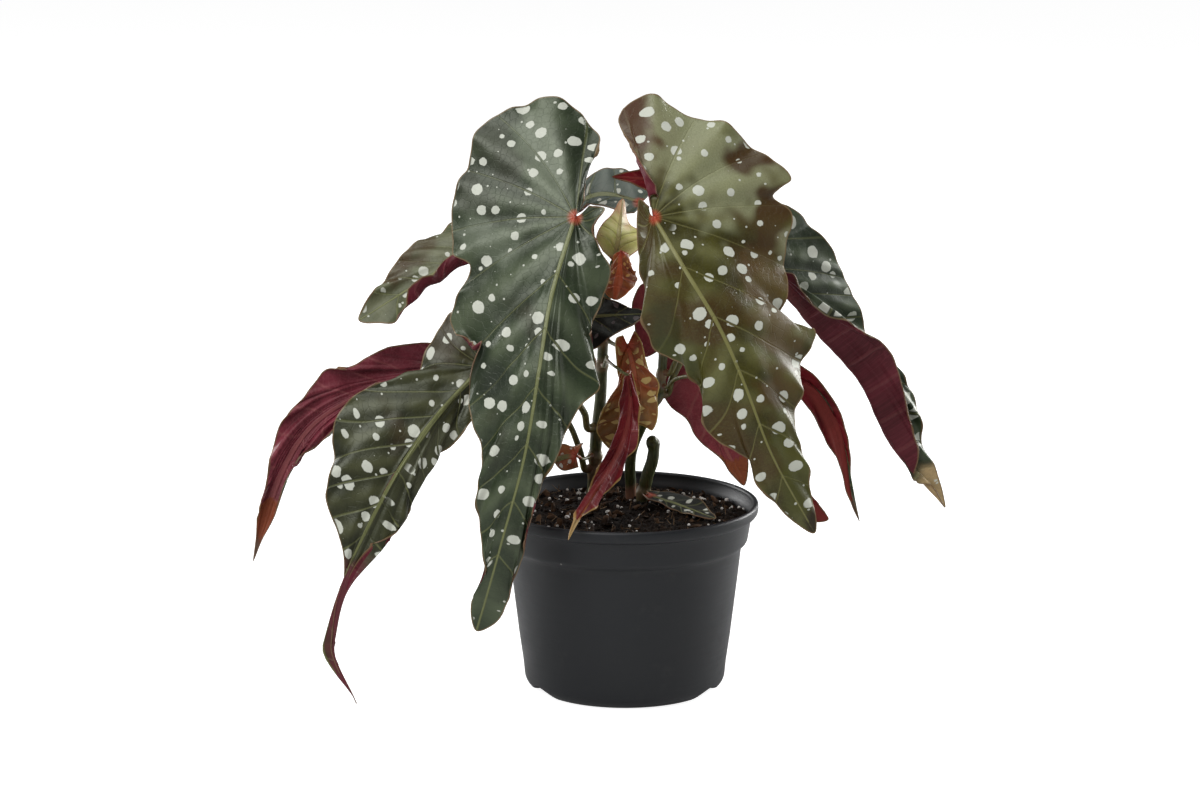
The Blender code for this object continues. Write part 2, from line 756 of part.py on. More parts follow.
def blade_rows(blade):
    """The upper skin of a blade: for each ray out from the junction, its points from ring 1 to the margin."""
    centre = Vector(blade["junction"])
    up = Vector(blade["up"]).normalized()
    margin = smooth_path(blade["margin"], MARGIN_STEP)
    if turning(margin, centre).dot(up) < 0:
        margin.reverse()
    tip = max(margin, key=lambda p: (p - centre).length)
    reach = (tip - centre).length
    heading = (tip - centre) / reach
    rib = smooth_path([centre, *blade["midrib"], tip], 4.0)
    shares = [(point - centre).dot(heading) / reach for point in rib]
    swerves = [point - centre - (tip - centre) * share for point, share in zip(rib, shares)]
    rings = blade.get("rings", RINGS[0] if reach > LARGE else RINGS[1])
    rows = []
    for outer, even in zip(margin, evened(margin)):
        row = []
        for ring in range(1, rings + 1):
            t = ring / rings
            end = even.lerp(outer, t ** 3)
            share = min(1.0, max(0.0, (end - centre).dot(heading) / reach))
            lift = up * blade["arch"] * (1 - share) * min(1.0, (end - centre).length / 30)
            swerve = value_at(t * share, shares, swerves) - value_at(share, shares, swerves) * t
            point = centre + (end - centre) * t + swerve + lift * 2 * t * (1 - t)
            off = min((point - place).length for place in rib)
            sink = blade["keel"] * 4 * t * (1 - t) * math.exp(-((off / 10) ** 2))
            row.append(point - up * sink)
        rows.append(row)
    facing = turning([row[0] for row in rows], centre).normalized()
    return centre, facing, rows, rings


def value_at(share, shares, values):
    """The value at a share of the way, between the listed ones."""
    for low, high, before, after in zip(shares, shares[1:], values, values[1:]):
        if low <= share <= high:
            return before.lerp(after, (share - low) / max(high - low, 1e-9))
    return values[-1] if share > shares[-1] else values[0]


def make_blade(name):
    """A leaf blade: an upper skin, a lower skin one thickness below it, and a wall round the outline."""
    blade = BLADES[name]
    centre, facing, rows, rings = blade_rows(blade)
    upper = [centre] + [point for row in rows for point in row]
    faces = []
    for ray in range(len(rows) - 1):
        here = 1 + ray * rings
        there = here + rings
        faces.append([0, here, there])
        for ring in range(rings - 1):
            faces.append([here + ring, here + ring + 1, there + ring + 1, there + ring])
    normals = [Vector((0, 0, 0)) for _ in upper]
    for face in faces:
        corners = [upper[i] for i in face]
        across = turning(corners[1:], corners[0])
        for i in face:
            normals[i] += across
    normals[0] = facing
    count = len(upper)
    lower = [point - normal.normalized() * BLADE for point, normal in zip(upper, normals)]
    walls = []
    first = [0] + [1 + ring for ring in range(rings)]
    last = [0] + [1 + (len(rows) - 1) * rings + ring for ring in range(rings)]
    outline = first + [1 + ray * rings + rings - 1 for ray in range(1, len(rows) - 1)] + last[::-1]
    for a, b in zip(outline, outline[1:]):
        walls.append([b, a, a + count, b + count])
    under = [[i + count for i in reversed(face)] for face in faces]
    kind = BLADE_COLOURS.get(name, "green")
    return solid(name, upper + lower, faces + under + walls, kind, 50.0)


make_pot()
make_soil()
for cane_name in CANES:
    cane_path, cane_radii = cane_line(cane_name)
    tube(cane_name, cane_path, cane_radii, CANE_SIDES, "cane")
for leaf_name in BLADES:
    make_blade(leaf_name)
for leaf_name in STALKS:
    make_stalk(leaf_name)
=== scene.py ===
# %% [markdown]
# # A potted polka dot begonia, from plain solids to a finished plant
#
# A polka dot begonia is a cane begonia: bamboo-like stems, long angel wing leaves with white spots on
# their upper side, and wine-red undersides. It grows here in the black plastic pot that nurseries use.
# The plain solids of every leaf, stalk, cane, the soil and the pot are loaded first, and they give each
# place and size. Every piece below is then made finer in the same place.

# %% Load the plain solids
import math

import bmesh
import bpy
import numpy as np
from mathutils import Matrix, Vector, noise


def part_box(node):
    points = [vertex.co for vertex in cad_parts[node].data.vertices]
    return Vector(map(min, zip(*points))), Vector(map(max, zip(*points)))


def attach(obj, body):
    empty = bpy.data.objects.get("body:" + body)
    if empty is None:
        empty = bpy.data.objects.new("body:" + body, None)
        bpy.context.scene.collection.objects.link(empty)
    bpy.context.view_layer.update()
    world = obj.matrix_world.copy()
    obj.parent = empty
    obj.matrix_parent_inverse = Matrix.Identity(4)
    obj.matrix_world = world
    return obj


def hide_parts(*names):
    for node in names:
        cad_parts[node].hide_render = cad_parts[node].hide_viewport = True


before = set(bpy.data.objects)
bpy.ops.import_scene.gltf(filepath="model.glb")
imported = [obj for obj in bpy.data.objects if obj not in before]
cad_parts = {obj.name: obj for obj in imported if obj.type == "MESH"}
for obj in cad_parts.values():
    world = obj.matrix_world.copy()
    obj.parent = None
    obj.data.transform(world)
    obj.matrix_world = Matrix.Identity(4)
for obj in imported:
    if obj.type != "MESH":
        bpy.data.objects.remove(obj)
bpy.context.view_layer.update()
MM = 0.001

# %% [markdown]
# ## Camera, floor and light
#
# A long lens from a little above the pot gives a calm view with hardly any perspective. The floor and the
# surroundings look white, as in a product studio, but only to the camera: Light Path tells its rays from
# the rest, and the leaves see a dim room. A bright one would lay a white veil over their waxy skins and
# wash the dark colours out. Large soft lights from both sides, above and behind give shape and sheen.

# %% Camera
bpy.ops.object.select_all(action="DESELECT")
CAMERA_PLACE, CAMERA_TILT, LENS = (-0.0112, -1.652, 0.486), 77.88, 113.46
bpy.ops.object.camera_add(location=CAMERA_PLACE, rotation=(math.radians(CAMERA_TILT), 0, 0))
camera = bpy.context.object
camera.name = "camera"
camera.data.sensor_width = 36.0
camera.data.lens = LENS
bpy.context.scene.camera = camera
print("lens", camera.data.lens, "mm at", round(camera.location.length, 3), "m")


# %% Helpers for numbers and colours
def calc(tree, operation, a, b=None, c=None):
    """One Math node, fed with sockets or numbers."""
    made = tree.nodes.new("ShaderNodeMath")
    made.operation = operation
    for socket, value in zip(made.inputs, (a, b, c)):
        put(tree, socket, value)
    return made.outputs[0]


def put(tree, socket, value):
    """Links a socket to another, or sets its value."""
    if value is None:
        return
    if isinstance(value, bpy.types.NodeSocket):
        tree.links.new(value, socket)
    elif isinstance(value, tuple) and len(value) == 3 and socket.type == "RGBA":
        socket.default_value = (*value, 1.0)
    else:
        socket.default_value = value


def times(tree, a, b):
    """The product of two values."""
    return calc(tree, "MULTIPLY", a, b)


def mixed(tree, amount, first, second):
    """One colour mixed into another."""
    made = tree.nodes.new("ShaderNodeMix")
    made.data_type = "RGBA"
    put(tree, made.inputs[0], amount)
    put(tree, made.inputs[6], first)
    put(tree, made.inputs[7], second)
    return made.outputs[2]


def step(tree, value, low, high, bottom=0.0, top=1.0):
    """A smooth step from bottom to top as the value goes from low to high."""
    made = tree.nodes.new("ShaderNodeMapRange")
    made.interpolation_type = "SMOOTHSTEP"
    put(tree, made.inputs["Value"], value)
    made.inputs["From Min"].default_value = low
    made.inputs["From Max"].default_value = high
    made.inputs["To Min"].default_value = bottom
    made.inputs["To Max"].default_value = top
    return made.outputs["Result"]


print("number and colour helpers ready")


# %% Helpers for patterns and relief
def cloud(tree, where, scale, detail=3.0, rough=0.55):
    """The value of a noise texture."""
    made = tree.nodes.new("ShaderNodeTexNoise")
    put(tree, made.inputs["Vector"], where)
    made.inputs["Scale"].default_value = scale
    made.inputs["Detail"].default_value = detail
    made.inputs["Roughness"].default_value = rough
    return made.outputs["Fac"]


def cells(tree, where, scale, jitter=1.0, feature="F1", flat=False):
    """A Voronoi texture node."""
    made = tree.nodes.new("ShaderNodeTexVoronoi")
    made.feature = feature
    made.voronoi_dimensions = "2D" if flat else "3D"
    put(tree, made.inputs["Vector"], where)
    made.inputs["Scale"].default_value = scale
    made.inputs["Randomness"].default_value = jitter
    return made


def stretched(tree, where, scale):
    """A place scaled by its own amount along each axis."""
    made = tree.nodes.new("ShaderNodeMapping")
    put(tree, made.inputs["Vector"], where)
    made.inputs["Scale"].default_value = scale
    return made.outputs["Vector"]


def raised(tree, height, depth, strength=1.0, under=None):
    """A Bump node for a height between 0 and 1 and its depth in millimetres."""
    made = tree.nodes.new("ShaderNodeBump")
    made.inputs["Strength"].default_value = strength
    made.inputs["Distance"].default_value = depth * MM
    put(tree, made.inputs["Height"], height)
    put(tree, made.inputs["Normal"], under)
    return made.outputs["Normal"]


def finish(name):
    """A new material, its node tree, its Principled shader and the object's own coordinates."""
    made = bpy.data.materials.new(name)
    made.use_nodes = True
    tree = made.node_tree
    return made, tree, tree.nodes["Principled BSDF"], tree.nodes.new("ShaderNodeTexCoord").outputs["Object"]


print("pattern helpers ready")

# %% Floor
floor_finish, tree, shader, here = finish("pale_floor")
pale = mixed(tree, cloud(tree, here, 3.0), (0.50, 0.50, 0.50), (0.53, 0.53, 0.53))
put(tree, shader.inputs["Base Color"], pale)
shader.inputs["Roughness"].default_value = 0.8
shader.inputs["Specular IOR Level"].default_value = 0.1
shader.inputs["Emission Color"].default_value = (1.0, 1.0, 1.0, 1.0)
seen = tree.nodes.new("ShaderNodeLightPath").outputs["Is Camera Ray"]
FLOOR_GLOW, FLOOR_WHITE = 0.12, 0.78
put(tree, shader.inputs["Emission Strength"], calc(tree, "MULTIPLY_ADD", seen, FLOOR_WHITE, FLOOR_GLOW))
bpy.ops.mesh.primitive_circle_add(vertices=96, radius=9.0, fill_type="NGON", location=(0, 0, -0.0002))
floor = bpy.context.object
floor.name = "studio_floor"
floor.data.materials.append(floor_finish)
print("floor", round(floor.dimensions.x, 1), "m across")


# %% Light
PLANT_MIDDLE = Vector((0, 0, 0.13))


def softbox(name, place, size, power):
    """A large square area light that looks at the middle of the plant."""
    turn = (PLANT_MIDDLE - Vector(place)).to_track_quat("-Z", "Y").to_euler()
    bpy.ops.object.light_add(type="AREA", location=place, rotation=turn)
    made = bpy.context.object
    made.name = name
    made.data.size = size
    made.data.energy = power
    return made


softbox("softbox_key", place=(-0.75, -1.0, 1.35), size=1.2, power=27.0)
softbox("softbox_right", place=(1.4, -0.2, 0.6), size=0.8, power=3.5)
softbox("softbox_top", place=(-0.1, 0.1, 1.6), size=0.9, power=7.0)
softbox("softbox_back_left", place=(-1.2, 0.9, 0.5), size=0.8, power=13.0)
softbox("softbox_back_right", place=(1.2, 0.9, 0.5), size=0.8, power=24.0)
world = bpy.data.worlds.new("white_room")
bpy.context.scene.world = world
world.use_nodes = True
room = world.node_tree
backdrop = room.nodes["Background"]
backdrop.inputs["Color"].default_value = (1.0, 1.0, 1.0, 1.0)
seen = room.nodes.new("ShaderNodeLightPath").outputs["Is Camera Ray"]
ROOM_GLOW, ROOM_WHITE = 0.10, 0.90
put(room, backdrop.inputs["Strength"], calc(room, "MULTIPLY_ADD", seen, ROOM_WHITE, ROOM_GLOW))
bpy.context.scene.view_settings.view_transform = "Standard"
print("five softboxes in a white room")

# %% [markdown]
# ## The nursery pot
#
# A nursery pot is blown or moulded from thin black polypropylene: a rolled rim, a straight collar, a step,
# a tapered body, and a foot with arched bays that let water run out under the pot. A turned profile gives
# all of it but the bays: one ring is extruded and widened from height to height, up the outside, over the
# lip and down the inside. The bays and their holes are then cut with Booleans.

# %% Profile of the pot
pot_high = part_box("nursery_pot")[1]
RIM = pot_high.x / MM
TOP = pot_high.z / MM


def quarter(cx, cz, radius, start, end, steps):
    """Points of an arc in the profile, from one angle to another in degrees."""
    turns = [math.radians(start + (end - start) * i / steps) for i in range(steps + 1)]
    return [(cx + radius * math.cos(t), cz + radius * math.sin(t)) for t in turns]


# Each ring is its radius and its height in millimetres, from the foot up the outside and down the inside.
FOOT, CORNER, LIP = 39.0, 6.3, 2.4
foot_rings = [(FOOT - 1.0, 0.0)] + quarter(FOOT, CORNER, CORNER, -90, -6, 9)
body_rings = [(45.9, 12.0), (47.6, 24.0), (49.3, 38.0), (51.2, 54.0), (52.2, 63.0), (52.5, 64.6)]
step_rings = [(52.9, 65.5), (53.9, 66.6), (54.8, 67.5), (55.25, 68.4), (55.4, 69.2)]
collar_rings = [(56.2, 74.0), (56.9, 78.2)]
rim_rings = [(57.3, 78.9), (58.4, 79.4), (59.2, 79.9), (59.75, 80.7), (RIM, 81.8)]
lip_rings = quarter(RIM - LIP / 2, TOP - LIP / 2, LIP / 2, 0, 180, 8)
inner_rings = [(RIM - LIP, 82.3), (56.2, 80.2), (55.6, 78.6), (54.0, 69.6), (53.4, 67.8), (51.2, 64.4)]
inner_rings += [(50.4, 58.0), (46.4, 26.0), (44.6, 13.0)]
profile = foot_rings + body_rings + step_rings + collar_rings + rim_rings + lip_rings + inner_rings
print(len(profile), "rings, rim", round(2 * RIM, 1), "mm across")


# %% Turn the pot
def turned(name, rings, sides):
    """A closed round body: one circle, extruded and widened ring by ring, and filled at both ends."""
    bpy.ops.object.select_all(action="DESELECT")
    radius, height = rings[0]
    bpy.ops.mesh.primitive_circle_add(
        vertices=sides, radius=radius * MM, fill_type="NGON", location=(0, 0, height * MM)
    )
    made = bpy.context.object
    made.name = name
    bpy.ops.object.transform_apply(location=True, rotation=True, scale=True)
    bpy.ops.object.mode_set(mode="EDIT")
    bpy.ops.mesh.select_mode(type="EDGE")
    bpy.ops.mesh.select_all(action="SELECT")
    bpy.ops.mesh.region_to_loop()
    for (r, z), (r_next, z_next) in zip(rings, rings[1:]):
        bpy.ops.mesh.extrude_edges_move(TRANSFORM_OT_translate={"value": (0, 0, (z_next - z) * MM)})
        bpy.ops.transform.resize(value=(r_next / r, r_next / r, 1.0))
    bpy.ops.mesh.edge_face_add()
    bpy.ops.mesh.select_all(action="SELECT")
    bpy.ops.mesh.normals_make_consistent(inside=False)
    bpy.ops.object.mode_set(mode="OBJECT")
    return made


pot = turned("plastic_pot", profile, 144)
print(len(pot.data.polygons), "faces, box", [round(c / MM, 1) for c in pot.dimensions])


# %% Cut the drain bays and their holes
def cut(target, cutter):
    """Takes a cutter away from a piece, applies that, and removes the cutter."""
    bpy.ops.object.select_all(action="DESELECT")
    bpy.context.view_layer.objects.active = target
    target.select_set(True)
    bpy.ops.object.modifier_add(type="BOOLEAN")
    target.modifiers[-1].object = cutter
    target.modifiers[-1].operation = "DIFFERENCE"
    bpy.ops.object.modifier_apply(modifier=target.modifiers[-1].name)
    bpy.data.objects.remove(cutter, do_unlink=True)


BAY_ANGLES, BAY_RADIUS, BAY_TOP, BAY_DEPTH = (-30, 90, 210), 17.0, 4.6, 6.0
HOLE_RADIUS, HOLE_DEPTH, HOLE_HEIGHT, EDGE_ROUNDING = 2.4, 12, 4, 0.35
for angle in BAY_ANGLES:
    turn = math.radians(angle)
    along = Vector((math.cos(turn), math.sin(turn), 0))
    middle = along * (FOOT - BAY_DEPTH + RIM) / 2 + Vector((0, 0, BAY_TOP - BAY_RADIUS))
    bpy.ops.mesh.primitive_cylinder_add(
        vertices=96,
        radius=BAY_RADIUS * MM,
        depth=(RIM - FOOT + BAY_DEPTH) * MM,
        location=middle * MM,
        rotation=(math.pi / 2, 0, turn + math.pi / 2),
    )
    cut(pot, bpy.context.object)
    bpy.ops.mesh.primitive_cylinder_add(
        vertices=32,
        radius=HOLE_RADIUS * MM,
        depth=HOLE_DEPTH * MM,
        location=(along * (FOOT - 1) + Vector((0, 0, HOLE_HEIGHT))) * MM,
    )
    cut(pot, bpy.context.object)
bpy.ops.object.modifier_add(type="BEVEL")
pot.modifiers[-1].width = EDGE_ROUNDING * MM
pot.modifiers[-1].segments = 2
pot.modifiers[-1].limit_method = "ANGLE"
pot.modifiers[-1].angle_limit = math.radians(40)
bpy.ops.object.modifier_apply(modifier=pot.modifiers[-1].name)
bpy.ops.object.shade_smooth_by_angle(angle=math.radians(35))
print(len(pot.data.polygons), "faces with the bays cut")

# %% [markdown]
# The plastic is nearly black with a satin skin. Handling leaves it dull in places, with fine scuffs that
# run round the pot, a little dried soil dust and single pale specks. Each is one layer: the scuffs and the
# dust change the colour a little and the roughness more, because a scuffed black surface shows mostly in
# how it reflects.

# %% Black polypropylene
DEEP_BLACK, WORN_BLACK = (0.0045, 0.0056, 0.0076), (0.0075, 0.0090, 0.0115)
SOIL_DUST, PALE_SPECK = (0.050, 0.049, 0.047), (0.34, 0.33, 0.31)
plastic, tree, shader, here = finish("black_polypropylene")
dull = cloud(tree, here, 22.0, 5.0, 0.6)
scuffs = cloud(tree, stretched(tree, here, (60.0, 60.0, 900.0)), 1.0, 3.0, 0.6)
dust = step(tree, times(tree, cloud(tree, here, 90.0, 6.0, 0.7), dull), 0.30, 0.52)
speck = cells(tree, here, 85.0)
chance = calc(tree, "GREATER_THAN", speck.outputs["Color"], 0.86)
specks = times(tree, step(tree, speck.outputs["Distance"], 0.06, 0.02), chance)
colour = mixed(tree, dull, DEEP_BLACK, WORN_BLACK)
colour = mixed(tree, times(tree, dust, 0.30), colour, SOIL_DUST)
colour = mixed(tree, times(tree, specks, 0.55), colour, PALE_SPECK)
put(tree, shader.inputs["Base Color"], colour)
gloss = calc(tree, "ADD", step(tree, dull, 0.3, 0.7, 0.34, 0.46), times(tree, scuffs, 0.10))
put(tree, shader.inputs["Roughness"], calc(tree, "ADD", gloss, times(tree, dust, 0.15)))
shader.inputs["Specular IOR Level"].default_value = 0.42
grain = calc(tree, "ADD", cloud(tree, here, 1500.0, 2.0), times(tree, scuffs, 0.8))
put(tree, shader.inputs["Normal"], raised(tree, grain, 0.025, 0.5))
pot.data.materials.clear()
pot.data.materials.append(plastic)
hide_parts("nursery_pot")
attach(pot, "root")
print("pot finished")

# %% [markdown]
# ## Peat soil
#
# The mix is fine black peat with brown bark chips, fibres and white perlite. The bed is a fine grid, cut
# round, with each point lifted by fractal noise into crumbs. The loose bits are low shapes of a few dozen
# faces, made once each and copied with their own turn and size, because there are many of them.

# %% Soil bed
soil_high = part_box("potting_soil")[1]
SOIL_TOP = soil_high.z / MM
BED_RADIUS, DOME_FALL, SETTLED, LUMP_HEIGHT, GRIT_HEIGHT = 55.3, 1.9, 0.4, 1.1, 0.55


def bed_height(x, y):
    """The height of the soil at a place, all in millimetres."""
    dome = SOIL_TOP - DOME_FALL * (x * x + y * y) / (BED_RADIUS * BED_RADIUS)
    lumps = noise.fractal(Vector((x, y, 3.0)) * 0.11, 0.9, 2.1, 5) * LUMP_HEIGHT
    grit = noise.fractal(Vector((x, y, 9.0)) * 0.55, 0.8, 2.0, 4) * GRIT_HEIGHT
    return dome - SETTLED + lumps + grit


bpy.ops.object.select_all(action="DESELECT")
BED_CELLS, BED_DEPTH = 170, 9
bpy.ops.mesh.primitive_grid_add(x_subdivisions=BED_CELLS, y_subdivisions=BED_CELLS, size=2 * BED_RADIUS * MM)
bed = bpy.context.object
bed.name = "peat_bed"
shape = bmesh.new()
shape.from_mesh(bed.data)
outside = [v for v in shape.verts if v.co.length > BED_RADIUS * MM]
bmesh.ops.delete(shape, geom=outside, context="VERTS")
for v in shape.verts:
    v.co.z = bed_height(v.co.x / MM, v.co.y / MM) * MM
rim_edges = [e for e in shape.edges if e.is_boundary]
grown = bmesh.ops.extrude_edge_only(shape, edges=rim_edges)["geom"]
for v in grown:
    if isinstance(v, bmesh.types.BMVert):
        v.co.z = (SOIL_TOP - BED_DEPTH) * MM
bmesh.ops.holes_fill(shape, edges=[e for e in shape.edges if e.is_boundary])
bmesh.ops.recalc_face_normals(shape, faces=shape.faces)
shape.to_mesh(bed.data)
shape.free()
bpy.ops.object.shade_smooth()
print("soil bed", len(bed.data.polygons), "faces")

# %% Peat, bark, perlite and fibre
DAMP_PEAT, PEAT, DRY_PEAT = (0.003, 0.002, 0.0015), (0.021, 0.012, 0.006), (0.034, 0.018, 0.008)
peat, tree, shader, here = finish("peat")
fine = cloud(tree, here, 700.0, 6.0, 0.7)
coarse = cloud(tree, here, 120.0, 4.0, 0.6)
colour = mixed(tree, step(tree, fine, 0.35, 0.75), DAMP_PEAT, PEAT)
colour = mixed(tree, step(tree, coarse, 0.52, 0.72, 0.0, 0.6), colour, DRY_PEAT)
put(tree, shader.inputs["Base Color"], colour)
shader.inputs["Roughness"].default_value = 0.85
shader.inputs["Specular IOR Level"].default_value = 0.15
put(tree, shader.inputs["Normal"], raised(tree, fine, 0.6, 0.9))
bed.data.materials.clear()
bed.data.materials.append(peat)


def crumb_finish(name, dark, light, scale, roughness):
    """A matt material that varies between two colours."""
    made, tree, shader, here = finish(name)
    shade = step(tree, cloud(tree, here, scale), 0.35, 0.65)
    put(tree, shader.inputs["Base Color"], mixed(tree, shade, dark, light))
    shader.inputs["Roughness"].default_value = roughness
    shader.inputs["Specular IOR Level"].default_value = 0.15
    put(tree, shader.inputs["Normal"], raised(tree, cloud(tree, here, scale * 6), 0.2, 0.7))
    return made


BITS = dict(
    peat_crumb=dict(dark=(0.004, 0.003, 0.002), light=(0.018, 0.011, 0.007), scale=160.0, roughness=0.9),
    bark_chip=dict(dark=(0.018, 0.009, 0.004), light=(0.080, 0.042, 0.020), scale=130.0, roughness=0.8),
    perlite=dict(dark=(0.50, 0.48, 0.44), light=(0.72, 0.71, 0.68), scale=300.0, roughness=0.85),
    root_fibre=dict(dark=(0.08, 0.045, 0.022), light=(0.24, 0.16, 0.09), scale=90.0, roughness=0.8),
)
crumb, bark, perlite, fibre = [crumb_finish(name, **colours) for name, colours in BITS.items()]
print("soil finishes ready")


# %% Scatter the loose bits
def small_shape(detail, stretch, roughen, seed):
    """A rough lump of a few dozen faces, one millimetre across, as points and triangles."""
    bpy.ops.mesh.primitive_ico_sphere_add(subdivisions=detail, radius=0.5)
    made = bpy.context.object
    points = np.array([v.co for v in made.data.vertices])
    triangles = np.array([list(p.vertices) for p in made.data.polygons])
    dice = np.random.default_rng(seed)
    points = points * (1 + roughen * dice.uniform(-1, 1, (len(points), 1))) * np.array(stretch)
    bpy.data.objects.remove(made, do_unlink=True)
    return points, triangles


def scatter(name, unit, material, count, sizes, crowding, sink, seed):
    """Many copies of one small shape on the soil, joined in one piece. Low crowding favours the rim."""
    points, triangles = unit
    dice = np.random.default_rng(seed)
    corners, faces = [], []
    while len(corners) < count:
        r = BED_RADIUS * 0.985 * math.sqrt(dice.uniform()) ** crowding
        turn = dice.uniform(0, 2 * math.pi)
        x, y = r * math.cos(turn), r * math.sin(turn)
        size = sizes[0] + (sizes[1] - sizes[0]) * dice.uniform() ** 2
        in_a_cane = any(math.hypot(x - cx, y - cy) < reach for cx, cy, reach in cane_feet)
        if in_a_cane or r + size > BED_RADIUS + 0.6:
            continue
        axes = np.linalg.qr(dice.normal(size=(3, 3)))[0]
        if np.linalg.det(axes) < 0:
            axes[:, 0] *= -1
        place = np.array([x, y, bed_height(x, y) + sink * size])
        faces.append(triangles + len(corners) * len(points))
        corners.append(points * size @ axes.T + place)
    mesh = bpy.data.meshes.new(name)
    mesh.from_pydata(np.concatenate(corners) * MM, [], np.concatenate(faces).tolist())
    made = bpy.data.objects.new(name, mesh)
    bpy.context.scene.collection.objects.link(made)
    mesh.materials.append(material)
    return made


FOOT_CLEARANCE = dict(cane_main=4.2, cane_second=3.7, cane_thin=2.4)
cane_feet = []
for node, reach in FOOT_CLEARANCE.items():
    points = np.array([v.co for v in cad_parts[node].data.vertices]) / MM
    foot = points[points[:, 2] < points[:, 2].min() + 3].mean(0)
    cane_feet.append((foot[0], foot[1], reach))
lump = small_shape(detail=1, stretch=(1, 0.8, 0.7), roughen=0.25, seed=1)
chip = small_shape(detail=2, stretch=(1.6, 0.8, 0.35), roughen=0.20, seed=2)
bead = small_shape(detail=2, stretch=(1, 0.9, 0.8), roughen=0.16, seed=3)
thread = small_shape(detail=1, stretch=(5.0, 0.16, 0.16), roughen=0.10, seed=4)
loose = [
    scatter("peat_crumbs", lump, crumb, count=1500, sizes=(0.7, 3.0), crowding=1.0, sink=0.1, seed=11),
    scatter("bark_chips", chip, bark, count=190, sizes=(1.4, 4.2), crowding=0.9, sink=0.22, seed=12),
    scatter("perlite_grains", bead, perlite, count=130, sizes=(0.8, 2.5), crowding=1.0, sink=0.22, seed=13),
    scatter("soil_fibres", thread, fibre, count=150, sizes=(0.9, 2.2), crowding=1.0, sink=0.35, seed=14),
]
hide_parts("potting_soil")
for piece in [bed, *loose]:
    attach(piece, "root")
print({piece.name: len(piece.data.polygons) for piece in loose})

# %% [markdown]
# ## Canes and stalks
#
# The canes are smooth, olive green and jointed like bamboo: at each joint, where a leaf stalk leaves, there
# is a swelling with a pale scar ring. A stalk is a thinner tube that widens at both ends. Each is swept
# along the middle line of its own plain solid, which is read back from that solid's rings.


# %% Middle line of a tube
def merged(node):
    """The points and triangles of a plain solid, with doubled points merged, in millimetres."""
    shape = bmesh.new()
    shape.from_mesh(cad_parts[node].data)
    bmesh.ops.remove_doubles(shape, verts=shape.verts, dist=1e-6)
    shape.verts.ensure_lookup_table()
    points = np.array([v.co for v in shape.verts]) / MM
    faces = [[v.index for v in f.verts] for f in shape.faces]
    shape.free()
    return points, faces


def neighbours(faces, keep=None):
    """Which points share an edge, among the faces given."""
    near = {}
    for face in faces:
        for a, b in zip(face, face[1:] + face[:1]):
            if keep is None or (a in keep and b in keep):
                near.setdefault(a, set()).add(b)
                near.setdefault(b, set()).add(a)
    return near


def ranks(near, start):
    """How many edges each point is from the starting points."""
    found = {point: 0 for point in start}
    front = list(start)
    while front:
        coming = []
        for point in front:
            for other in near[point]:
                if other not in found:
                    found[other] = found[point] + 1
                    coming.append(other)
        front = coming
    return found


def middle_line(node, sides):
    """The centres and radii of a tube's rings, from one end to the other."""
    points, faces = merged(node)
    planes = {}
    for face in faces:
        a, b, c = (points[i] for i in face)
        normal = np.cross(b - a, c - a)
        normal /= np.linalg.norm(normal)
        key = tuple(np.round([*normal, normal @ a / 10], 2))
        planes.setdefault(key, set()).update(face)
    caps = [group for group in planes.values() if len(group) == sides]
    rank = ranks(neighbours(faces), caps[0])
    line, radii = [], []
    for ring in range(max(rank.values()) + 1):
        members = points[[i for i, r in rank.items() if r == ring]]
        line.append(members.mean(0))
        radii.append(np.linalg.norm(members - members.mean(0), axis=1).mean())
    return np.array(line), np.array(radii)


STALK_SIDES, CANE_SIDES = 6, 8
for node in ("cane_main", "stalk_front_left"):
    line, radii = middle_line(node, CANE_SIDES if node.startswith("cane") else STALK_SIDES)
    print(node, len(line), "rings, radius", round(radii.min(), 2), "to", round(radii.max(), 2), "mm")


# %% Smooth curves through points
def through(knots, values, at):
    """Values on a smooth curve through the given ones, along the first axis."""
    knots = np.asarray(knots, float)
    values = np.asarray(values, float)
    shape = (-1,) + (1,) * (values.ndim - 1)
    gaps = np.diff(knots).reshape(shape)
    slopes = np.diff(values, axis=0) / gaps
    inner = (slopes[:-1] * gaps[1:] + slopes[1:] * gaps[:-1]) / (gaps[1:] + gaps[:-1])
    tangents = np.concatenate([slopes[:1], inner, slopes[-1:]])
    spot = np.clip(np.searchsorted(knots, at, side="right") - 1, 0, len(knots) - 2)
    gap = gaps[spot]
    t = ((np.asarray(at) - knots[spot]).reshape(shape)) / gap
    a, b = values[spot], values[spot + 1]
    return (
        a * (1 + 2 * t) * (1 - t) ** 2
        + b * t * t * (3 - 2 * t)
        + tangents[spot] * gap * t * (1 - t) ** 2
        - tangents[spot + 1] * gap * t * t * (1 - t)
    )


def lengths(line):
    """The distance along a line to each of its points."""
    return np.concatenate([[0.0], np.cumsum(np.linalg.norm(np.diff(line, axis=0), axis=1))])


def smooth(x):
    """A smooth step from 0 to 1 as x goes from 0 to 1."""
    x = np.clip(x, 0.0, 1.0)
    return x * x * (3 - 2 * x)


print("a curve through 0, 1, 0 reads", through([0, 1, 2], [0.0, 1.0, 0.0], np.array([0.5]))[0], "half way up")


